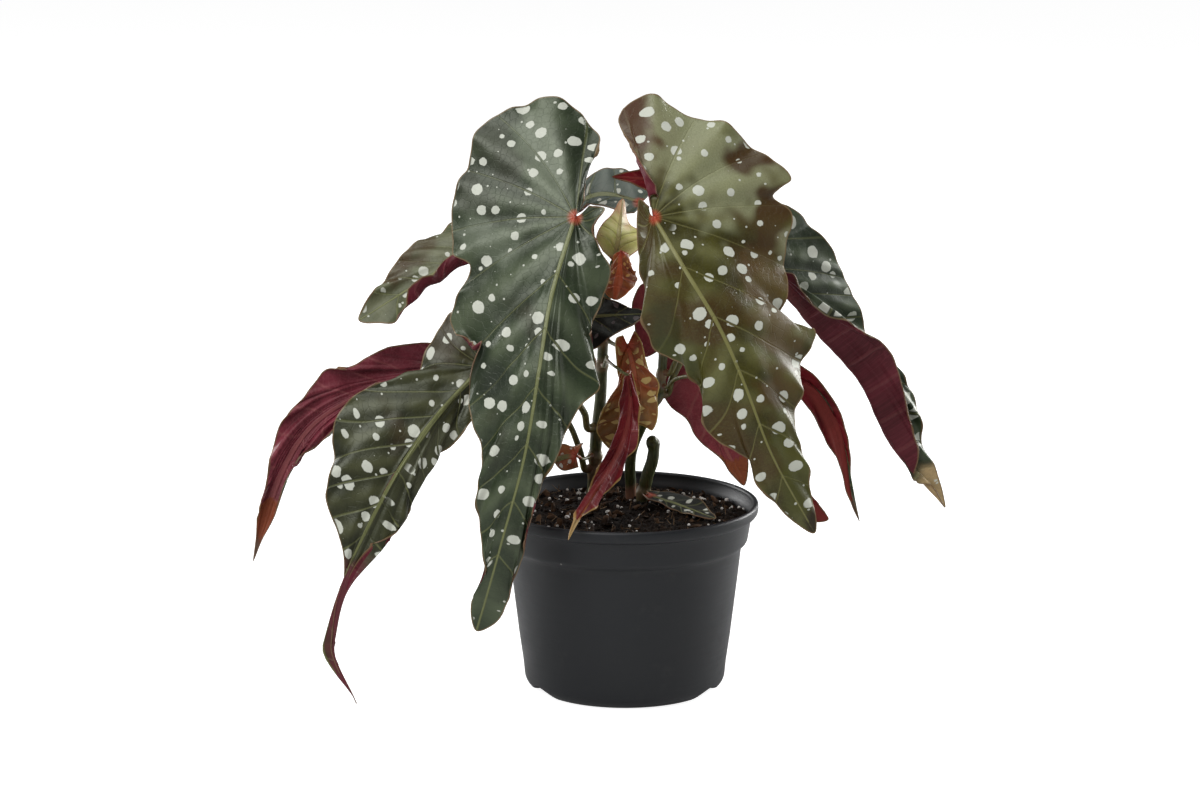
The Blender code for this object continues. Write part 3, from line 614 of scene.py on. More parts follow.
# %% Sweep a stem
def stem(name, line, radii, sides):
    """A round stem along a line, with its own radius at every point: a bevelled curve made into a mesh."""
    bpy.ops.object.select_all(action="DESELECT")
    bpy.ops.curve.primitive_nurbs_path_add(location=(0, 0, 0))
    made = bpy.context.object
    made.name = name
    made.data.name = name
    made.data.splines.clear()
    spline = made.data.splines.new("POLY")
    spline.points.add(len(line) - 1)
    for point, place, radius in zip(spline.points, line, radii):
        point.co = (*(place * MM), 1.0)
        point.radius = radius
    spline.use_smooth = True
    made.data.bevel_depth = MM
    made.data.bevel_resolution = sides // 2 - 2
    made.data.use_fill_caps = True
    bpy.ops.object.convert(target="MESH")
    bpy.ops.object.mode_set(mode="EDIT")
    bpy.ops.mesh.select_all(action="SELECT")
    bpy.ops.mesh.remove_doubles(threshold=1e-6)
    bpy.ops.mesh.normals_make_consistent(inside=False)
    bpy.ops.object.mode_set(mode="OBJECT")
    bpy.ops.object.shade_smooth_by_angle(angle=math.radians(50))
    return made


WANDER_SCALE, WANDER, CORE, FADE = 0.16, 0.5, 0.55, 0.75


def paint(piece, strokes):
    """Colour strokes on a piece: each is (start, end, reach, colour, strength), in millimetres."""
    count = len(piece.data.vertices)
    places = np.empty(count * 3)
    piece.data.vertices.foreach_get("co", places)
    places = places.reshape(-1, 3) / MM
    wander = np.array([noise.noise(Vector(p) * WANDER_SCALE) for p in places])
    colour = np.zeros((count, 3))
    cover = np.zeros(count)
    for start, end, reach, shade, strength in strokes:
        start, end = np.array(start, float), np.array(end, float)
        run = end - start
        share = np.clip(((places - start) @ run) / max(run @ run, 1e-9), 0, 1)
        away = np.linalg.norm(places - start - share[:, None] * run, axis=1) / reach
        amount = strength * (1 - smooth((away + WANDER * wander - CORE) / FADE))
        total = np.maximum(cover, amount)
        colour += (np.array(shade) - colour) * (amount / np.maximum(total, 1e-6))[:, None]
        cover = total
    layer = piece.data.color_attributes.new("stroke", "FLOAT_COLOR", "POINT")
    layer.data.foreach_set("color", np.concatenate([colour, cover[:, None]], axis=1).ravel())


def stroke_layer(tree):
    """The colour and the strength of the strokes painted on a piece."""
    made = tree.nodes.new("ShaderNodeVertexColor")
    made.layer_name = "stroke"
    return made.outputs["Color"], made.outputs["Alpha"]


print("stem and stroke helpers ready")

# %% [markdown]
# A cane's skin is drawn out lengthwise into fine streaks, with small corky dots, and it reddens a little
# in patches. A noise texture stretched along Z gives the streaks, because the canes stand
# nearly upright. The pale scar rings are painted on as strokes, since their places come from the stalks.


# %% Cane and stalk finishes
CORK = (0.20, 0.13, 0.06)


def stem_finish(name, deep, pale, flush, roughness):
    """A waxy stem: lengthwise streaks, corky dots, a flush of red, and its painted strokes."""
    made, tree, shader, here = finish(name)
    streak = cloud(tree, stretched(tree, here, (1400.0, 1400.0, 60.0)), 1.0, 3.0)
    patch = cloud(tree, here, 45.0, 2.0)
    dots = cells(tree, stretched(tree, here, (1.0, 1.0, 0.5)), 420.0)
    dot = step(tree, dots.outputs["Distance"], 0.22, 0.10)
    dot = times(tree, dot, step(tree, patch, 0.4, 0.6))
    colour = mixed(tree, step(tree, streak, 0.3, 0.7), deep, pale)
    colour = mixed(tree, step(tree, patch, 0.50, 0.75, 0.0, 0.75), colour, flush)
    colour = mixed(tree, times(tree, dot, 0.6), colour, CORK)
    stroke, cover = stroke_layer(tree)
    put(tree, shader.inputs["Base Color"], mixed(tree, cover, colour, stroke))
    put(tree, shader.inputs["Roughness"], step(tree, streak, 0.2, 0.8, roughness - 0.06, roughness + 0.10))
    shader.inputs["Subsurface Weight"].default_value = 0.12
    shader.inputs["Subsurface Radius"].default_value = (0.002, 0.001, 0.0005)
    put(tree, shader.inputs["Normal"], raised(tree, streak, 0.08, 0.6, raised(tree, dot, 0.12, 0.6)))
    return made


cane_skin = stem_finish(
    "cane_skin",
    deep=(0.030, 0.040, 0.010),
    pale=(0.085, 0.100, 0.026),
    flush=(0.085, 0.050, 0.020),
    roughness=0.38,
)
stalk_skin = stem_finish(
    "stalk_skin",
    deep=(0.060, 0.062, 0.016),
    pale=(0.150, 0.140, 0.040),
    flush=(0.150, 0.060, 0.028),
    roughness=0.40,
)
print(cane_skin.name, stalk_skin.name)

# %% Make the stalks
# Each line runs from the blade to the cane, a little into both, so that no gap shows.
PETIOLE_SIDES, STEM_SIDES = 14, 22
HEAD_OVERLAP, FOOT_OVERLAP, PETIOLE_PITCH = 0.6, 1.2, 1.3
SCAR, TOP_FLUSH, HEEL = (0.30, 0.20, 0.12), (0.30, 0.05, 0.025), (0.16, 0.05, 0.03)
stalk_feet = {}
for node in sorted(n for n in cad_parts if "stalk" in n):
    line, radii = middle_line(node, STALK_SIDES)
    blade = merged(node.replace("stalk", "leaf"))[0]
    if min(np.linalg.norm(blade - line[0], axis=1)) > min(np.linalg.norm(blade - line[-1], axis=1)):
        line, radii = line[::-1], radii[::-1]
    head = line[0] + (line[0] - line[1]) / np.linalg.norm(line[0] - line[1]) * HEAD_OVERLAP
    foot = line[-1] + (line[-1] - line[-2]) / np.linalg.norm(line[-1] - line[-2]) * FOOT_OVERLAP
    line = np.concatenate([[head], line, [foot]])
    radii = np.concatenate([radii[:1], radii, radii[-1:]])
    along = lengths(line)
    at = np.linspace(0, along[-1], max(12, int(along[-1] / PETIOLE_PITCH)))
    fine = through(along, line, at)
    swell = 1 + 0.22 * np.exp(-((at / 3.5) ** 2)) + 0.30 * np.exp(-(((along[-1] - at) / 3.0) ** 2))
    piece = stem(node.replace("stalk", "petiole"), fine, through(along, radii, at) * swell, PETIOLE_SIDES)
    paint(piece, [(fine[0], fine[2], 3.2, TOP_FLUSH, 0.75), (fine[-1], fine[-2], 2.2, HEEL, 0.7)])
    piece.data.materials.append(stalk_skin)
    stalk_feet[node] = fine[-1]
    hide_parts(node)
    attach(piece, "root")
print(len(stalk_feet), "stalks")

# %% Make the canes
# A joint sits just below each stalk that touches the cane, and a cane without one gets a single joint.
TOUCHING, BARE_FOOT, STEM_PITCH, JOINT_DROP, LONE_JOINT = 4.5, 6.0, 0.7, 1.5, 0.40
OLD_SCAR = ((3, 27, 81.5), (3, 27, 83.5), 4.4, (0.36, 0.17, 0.12), 0.75)
for node in ("cane_main", "cane_second", "cane_thin"):
    line, radii = middle_line(node, CANE_SIDES)
    if line[0][2] > line[-1][2]:
        line, radii = line[::-1], radii[::-1]
    along = lengths(line)
    at = np.arange(0, along[-1], STEM_PITCH)
    fine = through(along, line, at)
    thick = through(along, radii, at)
    joints = []
    for stalk_foot in stalk_feet.values():
        away = np.linalg.norm(fine - stalk_foot, axis=1)
        if away.min() < TOUCHING and stalk_foot[2] > SOIL_TOP + BARE_FOOT:
            joints.append(at[away.argmin()] - JOINT_DROP)
    joints = joints or [along[-1] * LONE_JOINT]
    for joint in joints:
        swelling = 0.24 * np.exp(-(((at - joint) / 2.0) ** 2))
        groove = 0.07 * np.exp(-(((at - joint - 3.4) / 0.9) ** 2))
        thick = thick * (1 + swelling - groove)
    piece = stem(node.replace("cane", "stem"), fine, thick, STEM_SIDES)
    rings = []
    for joint in joints:
        spot = np.abs(at - joint).argmin()
        rings.append((fine[spot], fine[spot] + (0, 0, 0.1), thick[spot] * 1.25, SCAR, 0.65))
    if node == "cane_second":
        rings.append(OLD_SCAR)
    paint(piece, rings)
    piece.data.materials.append(cane_skin)
    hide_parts(node)
    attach(piece, "root")
    print(piece.name, len(joints), "joints,", len(piece.data.polygons), "faces")

# %% [markdown]
# ## Angel wing leaves
#
# An angel wing leaf is lopsided: veins fan out from the point where the stalk joins, one strong midrib runs
# on to the tip, and side veins leave it. The blade bulges between the veins and waves along its margin.
# A grid fits such a leaf: rays run from the junction to the margin, and rings lie between. The plain solid
# has that grid already, so it is read back from its merged copy and then woven much finer.


# %% Read a blade's grid
PLAIN_THICKNESS, SAME_LENGTH = 0.6, 0.004


def blade_grid(node, carrier):
    """The upper skin of a plain blade as rays by rings, each ray from the junction to the margin."""
    points, faces = merged(node)
    skins = []
    for face in faces:
        a, b, c = (points[i] for i in face)
        sides = [np.linalg.norm(p - q) for p, q in ((a, b), (b, c), (c, a))]
        if min(abs(side - PLAIN_THICKNESS) for side in sides) > SAME_LENGTH:
            skins.append(face)
    near = neighbours(skins)
    first = set(ranks(near, [next(iter(near))]))
    halves = [first, set(near) - first]
    carrying = merged(carrier)[0]
    far = np.linalg.norm(points[:, None] - carrying, axis=2).min(1)
    poles = [max(half, key=lambda i: len(near[i]) - far[i]) for half in halves]
    top = int(far[poles[1]] > far[poles[0]])
    pole, half = poles[top], halves[top]
    rank = ranks(neighbours(skins, half), [pole])
    held = [list(rank.values()).count(ring) for ring in range(max(rank.values()) + 1)]
    outer = max(ring for ring in range(1, len(held)) if 2 * held[ring] > held[1])
    rings = []
    for ring in range(1, outer + 1):
        members = {i for i in half if min(rank[i], outer) == ring}
        links = neighbours(skins, members)
        ends = [i for i in members if len(links.get(i, ())) == 1]
        if rings:
            inner = rings[-1][0]
            ends.sort(key=lambda i: (inner not in near[i], np.linalg.norm(points[i] - points[inner])))
        chain = [ends[0]]
        while len(chain) < len(members):
            onward = [i for i in links[chain[-1]] if i not in chain]
            if not onward:
                break
            chain.append(onward[0])
        rings.append(chain)
    count = min(len(chain) for chain in rings)
    grid = np.array([[points[pole]] + [points[chain[ray]] for chain in rings] for ray in range(count)])
    spokes = grid[:, 1] - grid[0, 0]
    facing = np.cross(spokes[:-1], spokes[1:]).sum(0)
    outward = np.zeros(3)
    for face in skins:
        if pole in face:
            a, b, c = (points[i] for i in face)
            outward += np.cross(b - a, c - a)
    if facing @ outward < 0:
        grid = grid[::-1]
    whole = all(len(chain) == count for chain in rings)
    return grid, whole


grid, whole = blade_grid("leaf_front_left", "stalk_front_left")
print("front left blade:", grid.shape[0], "rays,", grid.shape[1] - 1, "rings, complete:", whole)

# %% [markdown]
# The finer grid gets its own flat map: how far each point is from the junction along its ray, and at what
# angle. The veins are drawn on that map as gently bent lines, five from the junction on each side and the
# rest from the midrib. A point's vein number counts them: it is whole on a vein and one half midway to the
# next. The bulges and the vein lines both follow that one number, and the spots stay clear of the veins, as
# on the real leaf.


# %% Weave a finer grid
def calm_ring(rows, ring, rounds):
    """Evens out one ring of a skin, all but its two ends."""
    for _ in range(rounds):
        rows[1:-1, ring] = 0.25 * rows[:-2, ring] + 0.5 * rows[1:-1, ring] + 0.25 * rows[2:, ring]


def weave(grid, pitch, calm=60):
    """The same skin with points about a pitch apart, and calmed across the rays, most near the junction."""
    margin = grid[:, -1]
    knots = np.concatenate([[0.0], np.cumsum(np.linalg.norm(np.diff(margin, axis=0), axis=1) ** 0.5)])
    at = [0.0]
    for low, high in zip(knots, knots[1:]):
        pieces = max(1, math.ceil((high - low) ** 2 / pitch))
        at += [low + (high - low) * (i + 1) / pieces for i in range(pieces)]
    fine = through(knots, grid, np.array(at))
    reach = np.linalg.norm(margin - grid[0, 0], axis=1).max()
    rings = max(10, int(reach / pitch * 0.8))
    share = np.linspace(0, 1, rings + 1)
    across = np.moveaxis(fine, 1, 0)
    rows = np.moveaxis(through(np.linspace(0, 1, grid.shape[1]), across, share), 0, 1)
    for ring in range(1, rings):
        calm_ring(rows, ring, int(calm * (1 - share[ring])))
    return rows


def rising(values, least):
    """The nearest run of numbers that grows by at least the given step each time."""
    blocks = []
    for value in values - least * np.arange(len(values)):
        blocks.append([value, 1])
        while len(blocks) > 1 and blocks[-2][0] >= blocks[-1][0]:
            mean, count = blocks.pop()
            before, held = blocks[-1]
            blocks[-1] = [(before * held + mean * count) / (held + count), held + count]
    return np.concatenate([np.full(count, mean) for mean, count in blocks]) + least * np.arange(len(values))


def junction_axes(spokes, ray):
    """Two directions at a junction: the one the blade faces, and the one along a ray, square to it."""
    axis = np.cross(spokes[:-1], spokes[1:]).sum(0)
    axis /= np.linalg.norm(axis)
    ahead = spokes[ray] - axis * (spokes[ray] @ axis)
    ahead /= np.linalg.norm(ahead)
    return axis, ahead


LEAST_TURN = 0.0006


def in_order(rows):
    """Turns rays that cross their neighbours back into order round the junction, all but their ends."""
    centre = rows[0, 0]
    axis, ahead = junction_axes(rows[:, rows.shape[1] // 4] - centre, len(rows) // 2)
    side = np.cross(axis, ahead)
    for ring in range(1, rows.shape[1] - 1):
        spokes = rows[:, ring] - centre
        x, y = spokes @ ahead, spokes @ side
        turns = np.unwrap(np.arctan2(y, x))
        ease = 1 - smooth(12 * ring / (rows.shape[1] - 1) - 11)
        change = (rising(turns, LEAST_TURN) - turns) * ease
        x, y = x * np.cos(change) - y * np.sin(change), x * np.sin(change) + y * np.cos(change)
        rows[:, ring] = centre + np.outer(x, ahead) + np.outer(y, side) + np.outer(spokes @ axis, axis)
    return rows


def skin_normals(rows):
    """Unit normals of a skin of rays by rings."""
    along = np.gradient(rows, axis=1)
    around = np.gradient(rows, axis=0)
    normal = np.cross(along, around)
    normal[:, 0] = normal[:, 1:3].sum((0, 1))
    size = np.linalg.norm(normal, axis=2, keepdims=True)
    return normal / np.maximum(size, 1e-9)


def flat_map(rows):
    """Each point's place on the flat map, with the tip along +U, and its distance to the margin."""
    centre = rows[0, 0]
    runs = np.linalg.norm(np.diff(rows, axis=1), axis=2)
    radius = np.concatenate([np.zeros((len(rows), 1)), np.cumsum(runs, axis=1)], axis=1)
    tip = radius[:, -1].argmax()
    near = max(1, rows.shape[1] // 7)
    spokes = rows[:, near] - centre
    axis, ahead = junction_axes(spokes, tip)
    turns = np.unwrap(np.arctan2(spokes @ np.cross(axis, ahead), spokes @ ahead))
    turns -= turns[tip]
    ends = rows[:, -1] - rows[:, -2]
    edge_run = np.gradient(rows[:, -1], axis=0)
    slant = np.linalg.norm(np.cross(ends, edge_run), axis=1)
    slant /= np.maximum(np.linalg.norm(ends, axis=1) * np.linalg.norm(edge_run, axis=1), 1e-9)
    edge = (radius[:, -1:] - radius) * np.clip(slant, 0.25, 1)[:, None]
    return radius * np.cos(turns)[:, None], radius * np.sin(turns)[:, None], edge, tip


TRIAL_PITCH = 4.0
u, v, edge, tip = flat_map(weave(grid, TRIAL_PITCH))
print("map of the front left blade:", round(float(np.ptp(u))), "by", round(float(np.ptp(v))), "mm")


# %% Number the veins
FAN_ANGLES, LARGE_LEAF, VEIN_STEP, VEIN_POINTS = (172, 140, 109, 79, 51), 60, 1.6, 90


def vein_lines(reach, gap):
    """The veins of one half of a leaf on the flat map, from the notch to the tip."""
    roots = [(0.0, math.radians(a)) for a in FAN_ANGLES]
    roots = roots if reach > LARGE_LEAF else roots[1::2]
    place = gap * 1.2
    while place < reach * 0.86:
        roots.append((place, math.radians(44 - 12 * place / reach)))
        place += gap * 1.15
    lines = []
    for root, angle in roots:
        point = np.array([root, 0.0])
        line = [point]
        for i in range(VEIN_POINTS):
            bent = angle * (1 - 0.30 * min(1.0, i * VEIN_STEP / max(50.0, 0.6 * reach)))
            point = point + VEIN_STEP * np.array([math.cos(bent), math.sin(bent)])
            line.append(point)
        lines.append(np.array(line))
    return lines


def number_veins(u, v, lines, gap):
    """Each point's vein number, the distance between its two veins, and how far out along them it is."""
    points = np.stack([u.ravel(), np.abs(v.ravel())], axis=1)
    away, ahead = [], []
    for line in lines:
        apart = points[:, None, :] - line[None, ::3, :]
        spot = (apart**2).sum(2).argmin(1) * 3
        low = np.clip(spot - 1, 0, len(line) - 2)
        start, run = line[low], line[np.minimum(low + 2, len(line) - 1)] - line[low]
        run /= np.linalg.norm(run, axis=1, keepdims=True)
        offset = points - start
        cross = run[:, 0] * offset[:, 1] - run[:, 1] * offset[:, 0]
        behind = (spot == 0) & ((offset * run).sum(1) < 0)
        away.append(np.where(behind, np.linalg.norm(points - line[0], axis=1), np.abs(cross)))
        ahead.append(cross < 0)
    away, ahead = np.array(away), np.array(ahead)
    last = len(lines) - 1
    index = np.cumprod(ahead, axis=0).sum(0) - 1
    here = np.take_along_axis(away, np.clip(index, 0, last)[None], 0)[0]
    onward = np.take_along_axis(away, np.clip(index + 1, 0, last)[None], 0)[0]
    width = here + onward
    number = index + here / np.maximum(width, 1e-6)
    number = np.where(index < 0, -away[0] / gap, number)
    number = np.where(index == last, last + away[last] / gap, number)
    width = np.where((index < 0) | (index == last), gap, width)
    roots = np.array([line[0, 0] for line in lines])
    root = np.interp(number, np.arange(len(lines)), roots)
    out = np.hypot(points[:, 0] - root, points[:, 1])
    return number.reshape(u.shape), np.clip(width, 2.0, 2.5 * gap).reshape(u.shape), out.reshape(u.shape)


TRIAL_GAP = 15.0
lines = vein_lines(u.max(), TRIAL_GAP)
number, width, out = number_veins(u, v, lines, TRIAL_GAP)
print(len(lines), "veins a side, numbers", round(number.min(), 1), "to", round(number.max(), 1))

# %% [markdown]
# The woven skin is still calm, so the shape comes next. It bulges between the veins, sinks along them and
# waves along its margin, and a stretch of margin may curl over. Where a fold is so tight that the skin
# passes through itself, the points there are relaxed, and narrow pleats are ironed out. A tail or a
# shrivelled tip is drawn in towards the midrib, because the plain solid is broader there.


# %% Shape a blade
def roll_margin(rows, normals, edge, rolls):
    """Curls stretches of the margin over: each is (start, end, width, degrees), towards the upper side."""
    margin = rows[:, -1].copy()
    for start, end, width, degrees in rolls:
        first = np.linalg.norm(margin - np.array(start), axis=1).argmin()
        last = np.linalg.norm(margin - np.array(end), axis=1).argmin()
        first, last = min(first, last), max(first, last)
        for ray in range(first, last + 1):
            ease = math.sin(math.pi * (ray - first + 0.5) / (last - first + 1)) ** 0.6
            inside = np.nonzero(edge[ray] > width)[0]
            if len(inside) == 0 or ease < 0.03:
                continue
            hinge = inside[-1]
            base, up = rows[ray, hinge].copy(), normals[ray, hinge]
            away = rows[ray, -1] - base
            away -= up * (away @ up)
            away /= max(np.linalg.norm(away), 1e-9)
            turn = math.radians(degrees) * ease
            radius = width / turn
            reach = np.maximum(edge[ray, hinge] - edge[ray, hinge + 1 :], 0)[:, None] / radius
            rows[ray, hinge + 1 :] = base + radius * (away * np.sin(reach) + up * (1 - np.cos(reach)))
    return rows


def shared(values):
    """Each value shared with its neighbours across both directions of a grid."""
    for axis in (0, 1):
        ahead = np.moveaxis(values, axis, 0)
        ahead = np.concatenate([ahead[:1], ahead, ahead[-1:]])
        values = np.moveaxis(0.25 * ahead[:-2] + 0.5 * ahead[1:-1] + 0.25 * ahead[2:], 0, axis)
    return values


CALM_ROUNDS, FOLDED = 10, 0.25


def untangle(rows, rounds=60):
    """Relaxes the spots where a skin folds back on itself, all but its margin."""
    for _ in range(rounds):
        normal = np.cross(rows[:-1, 1:] - rows[1:, :-1], rows[1:, 1:] - rows[:-1, :-1])
        normal /= np.linalg.norm(normal, axis=2, keepdims=True) + 1e-9
        mean = normal
        for _ in range(CALM_ROUNDS):
            mean = shared(mean)
        folded = (normal * mean).sum(2) < FOLDED * np.linalg.norm(mean, axis=2)
        spot = np.zeros(rows.shape[:2], bool)
        for ray, ring in ((0, 0), (0, 1), (1, 0), (1, 1)):
            spot[ray : ray + folded.shape[0], ring : ring + folded.shape[1]] |= folded
        spot = spot[1:-1, 1:-1]
        near = 0.25 * (rows[:-2, 1:-1] + rows[2:, 1:-1] + rows[1:-1, :-2] + rows[1:-1, 2:])
        rows[1:-1, 1:-1][spot] = near[spot]
    return rows


def ironed(rows, rounds=24):
    """Takes out the narrow pleats that run along a skin's rays, less and less towards its margin."""
    last = rows.shape[1] - 1
    for ring in range(1, last):
        calm_ring(rows, ring, int(rounds * (1 - (ring / last) ** 4)))
    return rows


def draw_in(rows, u, tip, first, last, share):
    """Draws a blade in towards its midrib, to a share of its width, between two distances along it."""
    middle = np.stack([np.interp(u, u[tip], rows[tip, :, axis]) for axis in range(3)], axis=-1)
    keep = 1 - (1 - share) * smooth((u - first) / (last - first))
    return middle + (rows - middle) * keep[..., None], keep**2


WAVE_LENGTHS, QUILT_SCALE, QUILT_LIFT = (31.0, 19.0, 11.0), 0.16, 0.35


def shape_blade(rows, u, v, edge, number, width, look, seed, keep=1.0):
    """Bulges between the veins, a valley along each vein, and waves along the margin."""
    normals = skin_normals(rows)
    radius = np.hypot(u, v)
    reach = radius.max()
    swell = np.sin(math.pi * number) ** 2
    calm = smooth(radius / (0.12 * reach + 4)) * (1 - np.exp(-((v / (0.03 * reach + 1.5)) ** 2)))
    lift = look["bulge"] * np.minimum(1.3, width / look["gap"]) * (swell**0.75 - 0.35) * calm
    dice = np.random.default_rng(seed)
    run = lengths(rows[:, -1])[:, None]
    waves = np.zeros_like(run)
    for length in WAVE_LENGTHS:
        waves = waves + np.sin(2 * math.pi * (run / length + dice.uniform())) * length / WAVE_LENGTHS[0]
    near = np.exp(-edge / (0.045 * reach + 2.0))
    taper = smooth(radius[:, -1:] / (0.25 * reach)) * smooth((reach * 1.02 - radius[:, -1:]) / (0.2 * reach))
    lift = lift + look["wave"] * waves * near * taper
    flat = zip(u.ravel() * QUILT_SCALE, v.ravel() * QUILT_SCALE)
    quilt = np.array([noise.noise(Vector((across, along, seed))) for across, along in flat])
    lift = lift + quilt.reshape(u.shape) * QUILT_LIFT * smooth(radius / 8)
    facing = normals.mean((0, 1)) / np.linalg.norm(normals.mean((0, 1)))
    turned = normals @ facing
    lift = lift * keep * np.clip(turned / 0.35, 0, 1)
    rows = rows + normals * lift[..., None] - facing * smooth(-turned / 0.3)[..., None]
    rows = ironed(untangle(rows)) if look["open"] else rows
    return roll_margin(rows, skin_normals(rows), edge, look["rolls"])


print("bulge and wave ready")


# %% Make a blade's mesh
def blade_mesh(name, rows, maps):
    """A single skin of rays and rings, with a UV map for each named pair of values."""
    rays, rings = rows.shape[0], rows.shape[1] - 1
    points = np.concatenate([rows[:1, 0], rows[:, 1:].reshape(-1, 3)]) * MM
    index = 1 + np.arange(rays * rings).reshape(rays, rings)
    fans = np.stack([np.zeros(rays - 1, int), index[:-1, 0], index[1:, 0]], axis=1)
    quads = np.stack([index[:-1, :-1], index[:-1, 1:], index[1:, 1:], index[1:, :-1]], axis=-1).reshape(-1, 4)
    mesh = bpy.data.meshes.new(name)
    mesh.from_pydata(points, [], fans.tolist() + quads.tolist())
    fan_ray = np.stack([np.arange(rays - 1)] * 2 + [np.arange(1, rays)], 1).ravel()
    fan_ring = np.tile([0, 1, 1], rays - 1)
    ray, ring = np.meshgrid(np.arange(rays - 1), np.arange(1, rings), indexing="ij")
    quad_ray = np.stack([ray, ray, ray + 1, ray + 1], -1).ravel()
    quad_ring = np.stack([ring, ring + 1, ring + 1, ring], -1).ravel()
    corner_ray = np.concatenate([fan_ray, quad_ray])
    corner_ring = np.concatenate([fan_ring, quad_ring])
    for title, (first, second) in maps.items():
        layer = mesh.uv_layers.new(name=title)
        pairs = np.stack([first[corner_ray, corner_ring], second[corner_ray, corner_ring]], 1)
        layer.data.foreach_set("uv", pairs.astype(np.float32).ravel())
    made = bpy.data.objects.new(name, mesh)
    bpy.context.scene.collection.objects.link(made)
    return made


def thicken(piece, thickness):
    """Gives a skin its thickness with Solidify: the underside and the rim take the next two materials."""
    bpy.ops.object.select_all(action="DESELECT")
    bpy.context.view_layer.objects.active = piece
    piece.select_set(True)
    bpy.ops.object.modifier_add(type="SOLIDIFY")
    piece.modifiers[-1].thickness = thickness * MM
    piece.modifiers[-1].offset = -1.0
    piece.modifiers[-1].material_offset = 1
    piece.modifiers[-1].material_offset_rim = 2
    bpy.ops.object.modifier_apply(modifier=piece.modifiers[-1].name)
    bpy.ops.object.shade_smooth_by_angle(angle=math.radians(70))


print("mesh helpers ready")

# %% [markdown]
# ## Leaf finishes
#
# The upper skin is waxy: dark green or bronze, a little paler where the blade bulges, which is painted sheen,
# with thin pale veins, a pale ribbed midrib, a red point at the junction and a thin tan margin. The white
# spots are air pockets
# under the skin. Each is one cell of a flat Voronoi texture on the blade's own map, which is in
# millimetres, so a spot follows the blade's folds and keeps its size. Every cell draws its own spot size
# from its random colour, and some stay bare. A noise makes the outlines a little uneven.
#
# The underside is wine red and duller, and its veins stand out in a paler red. Solidify gives each blade
# its thickness and hands the underside and the rim their own materials. Both skins read the same maps, so
# their veins meet, and both take the strokes painted on the blade, the underside only the strong ones.

# %% Colours of the leaf finishes
# An upper skin has four colours: its deep green, its green, the paler green painted on its bulges as sheen,
# its brown patches.
GREENS = dict(
    forest=((0.0060, 0.0115, 0.0035), (0.016, 0.027, 0.010), (0.078, 0.098, 0.054), (0.016, 0.012, 0.004)),
    bronze=((0.024, 0.020, 0.0010), (0.052, 0.047, 0.004), (0.135, 0.134, 0.048), (0.042, 0.017, 0.001)),
    olive=((0.050, 0.056, 0.026), (0.090, 0.094, 0.048), (0.160, 0.166, 0.100), (0.042, 0.022, 0.010)),
    dusk=((0.007, 0.008, 0.0015), (0.017, 0.018, 0.004), (0.060, 0.062, 0.026), (0.030, 0.014, 0.003)),
    night=((0.0020, 0.0024, 0.002), (0.004, 0.005, 0.004), (0.010, 0.011, 0.010), (0.004, 0.003, 0.002)),
    grey=((0.035, 0.050, 0.042), (0.060, 0.078, 0.066), (0.120, 0.140, 0.125), (0.030, 0.022, 0.018)),
    ember=((0.170, 0.030, 0.008), (0.290, 0.060, 0.012), (0.330, 0.130, 0.035), (0.120, 0.014, 0.007)),
    sheath=((0.400, 0.430, 0.110), (0.560, 0.560, 0.190), (0.680, 0.640, 0.320), (0.520, 0.300, 0.180)),
)
# An underside has four colours: its dark red, its red, its paler mottling, and its raised veins.
REDS = dict(
    maroon=((0.055, 0.006, 0.010), (0.105, 0.013, 0.022), (0.165, 0.029, 0.042), (0.230, 0.075, 0.072)),
    crimson=((0.095, 0.004, 0.008), (0.170, 0.007, 0.012), (0.210, 0.016, 0.020), (0.270, 0.055, 0.040)),
    wine=((0.090, 0.012, 0.019), (0.160, 0.025, 0.038), (0.250, 0.064, 0.080), (0.300, 0.105, 0.100)),
    rose=((0.180, 0.028, 0.038), (0.270, 0.047, 0.060), (0.350, 0.090, 0.092), (0.390, 0.145, 0.115)),
    sheath=((0.400, 0.400, 0.110), (0.560, 0.500, 0.190), (0.660, 0.580, 0.300), (0.560, 0.320, 0.190)),
)
print(len(GREENS), "upper colours,", len(REDS), "underside colours")


# %% What both skins read
def leaf_values(tree):
    """The maps of a blade as sockets: place in millimetres, vein number, distance out, gap, margin."""
    found = {}
    for title, first, second in (("place", "u", "v"), ("rows", "number", "out"), ("sizes", "gap", "edge")):
        made = tree.nodes.new("ShaderNodeUVMap")
        made.uv_map = title
        found[title] = made.outputs["UV"]
        parts = tree.nodes.new("ShaderNodeSeparateXYZ")
        tree.links.new(made.outputs["UV"], parts.inputs[0])
        found[first], found[second] = parts.outputs["X"], parts.outputs["Y"]
    off = calc(tree, "SUBTRACT", found["number"], calc(tree, "ROUND", found["number"]))
    found["vein"] = times(tree, calc(tree, "ABSOLUTE", off), found["gap"])
    found["rib"] = calc(tree, "ABSOLUTE", found["v"])
    length = tree.nodes.new("ShaderNodeVectorMath")
    length.operation = "LENGTH"
    put(tree, length.inputs[0], found["place"])
    found["far"] = length.outputs["Value"]
    found["swell"] = calc(tree, "ABSOLUTE", times(tree, off, 2.0))
    return found


def dice_of(tree, cell):
    """Three random numbers of each cell of a Voronoi texture."""
    made = tree.nodes.new("ShaderNodeSeparateColor")
    put(tree, made.inputs[0], cell.outputs["Color"])
    return made.outputs


def veinlets(tree, leaf, scale, width):
    """The fine net between the side veins."""
    net = cells(tree, leaf["place"], scale, 0.9, "DISTANCE_TO_EDGE", flat=True)
    return step(tree, net.outputs["Distance"], width, 0.01)


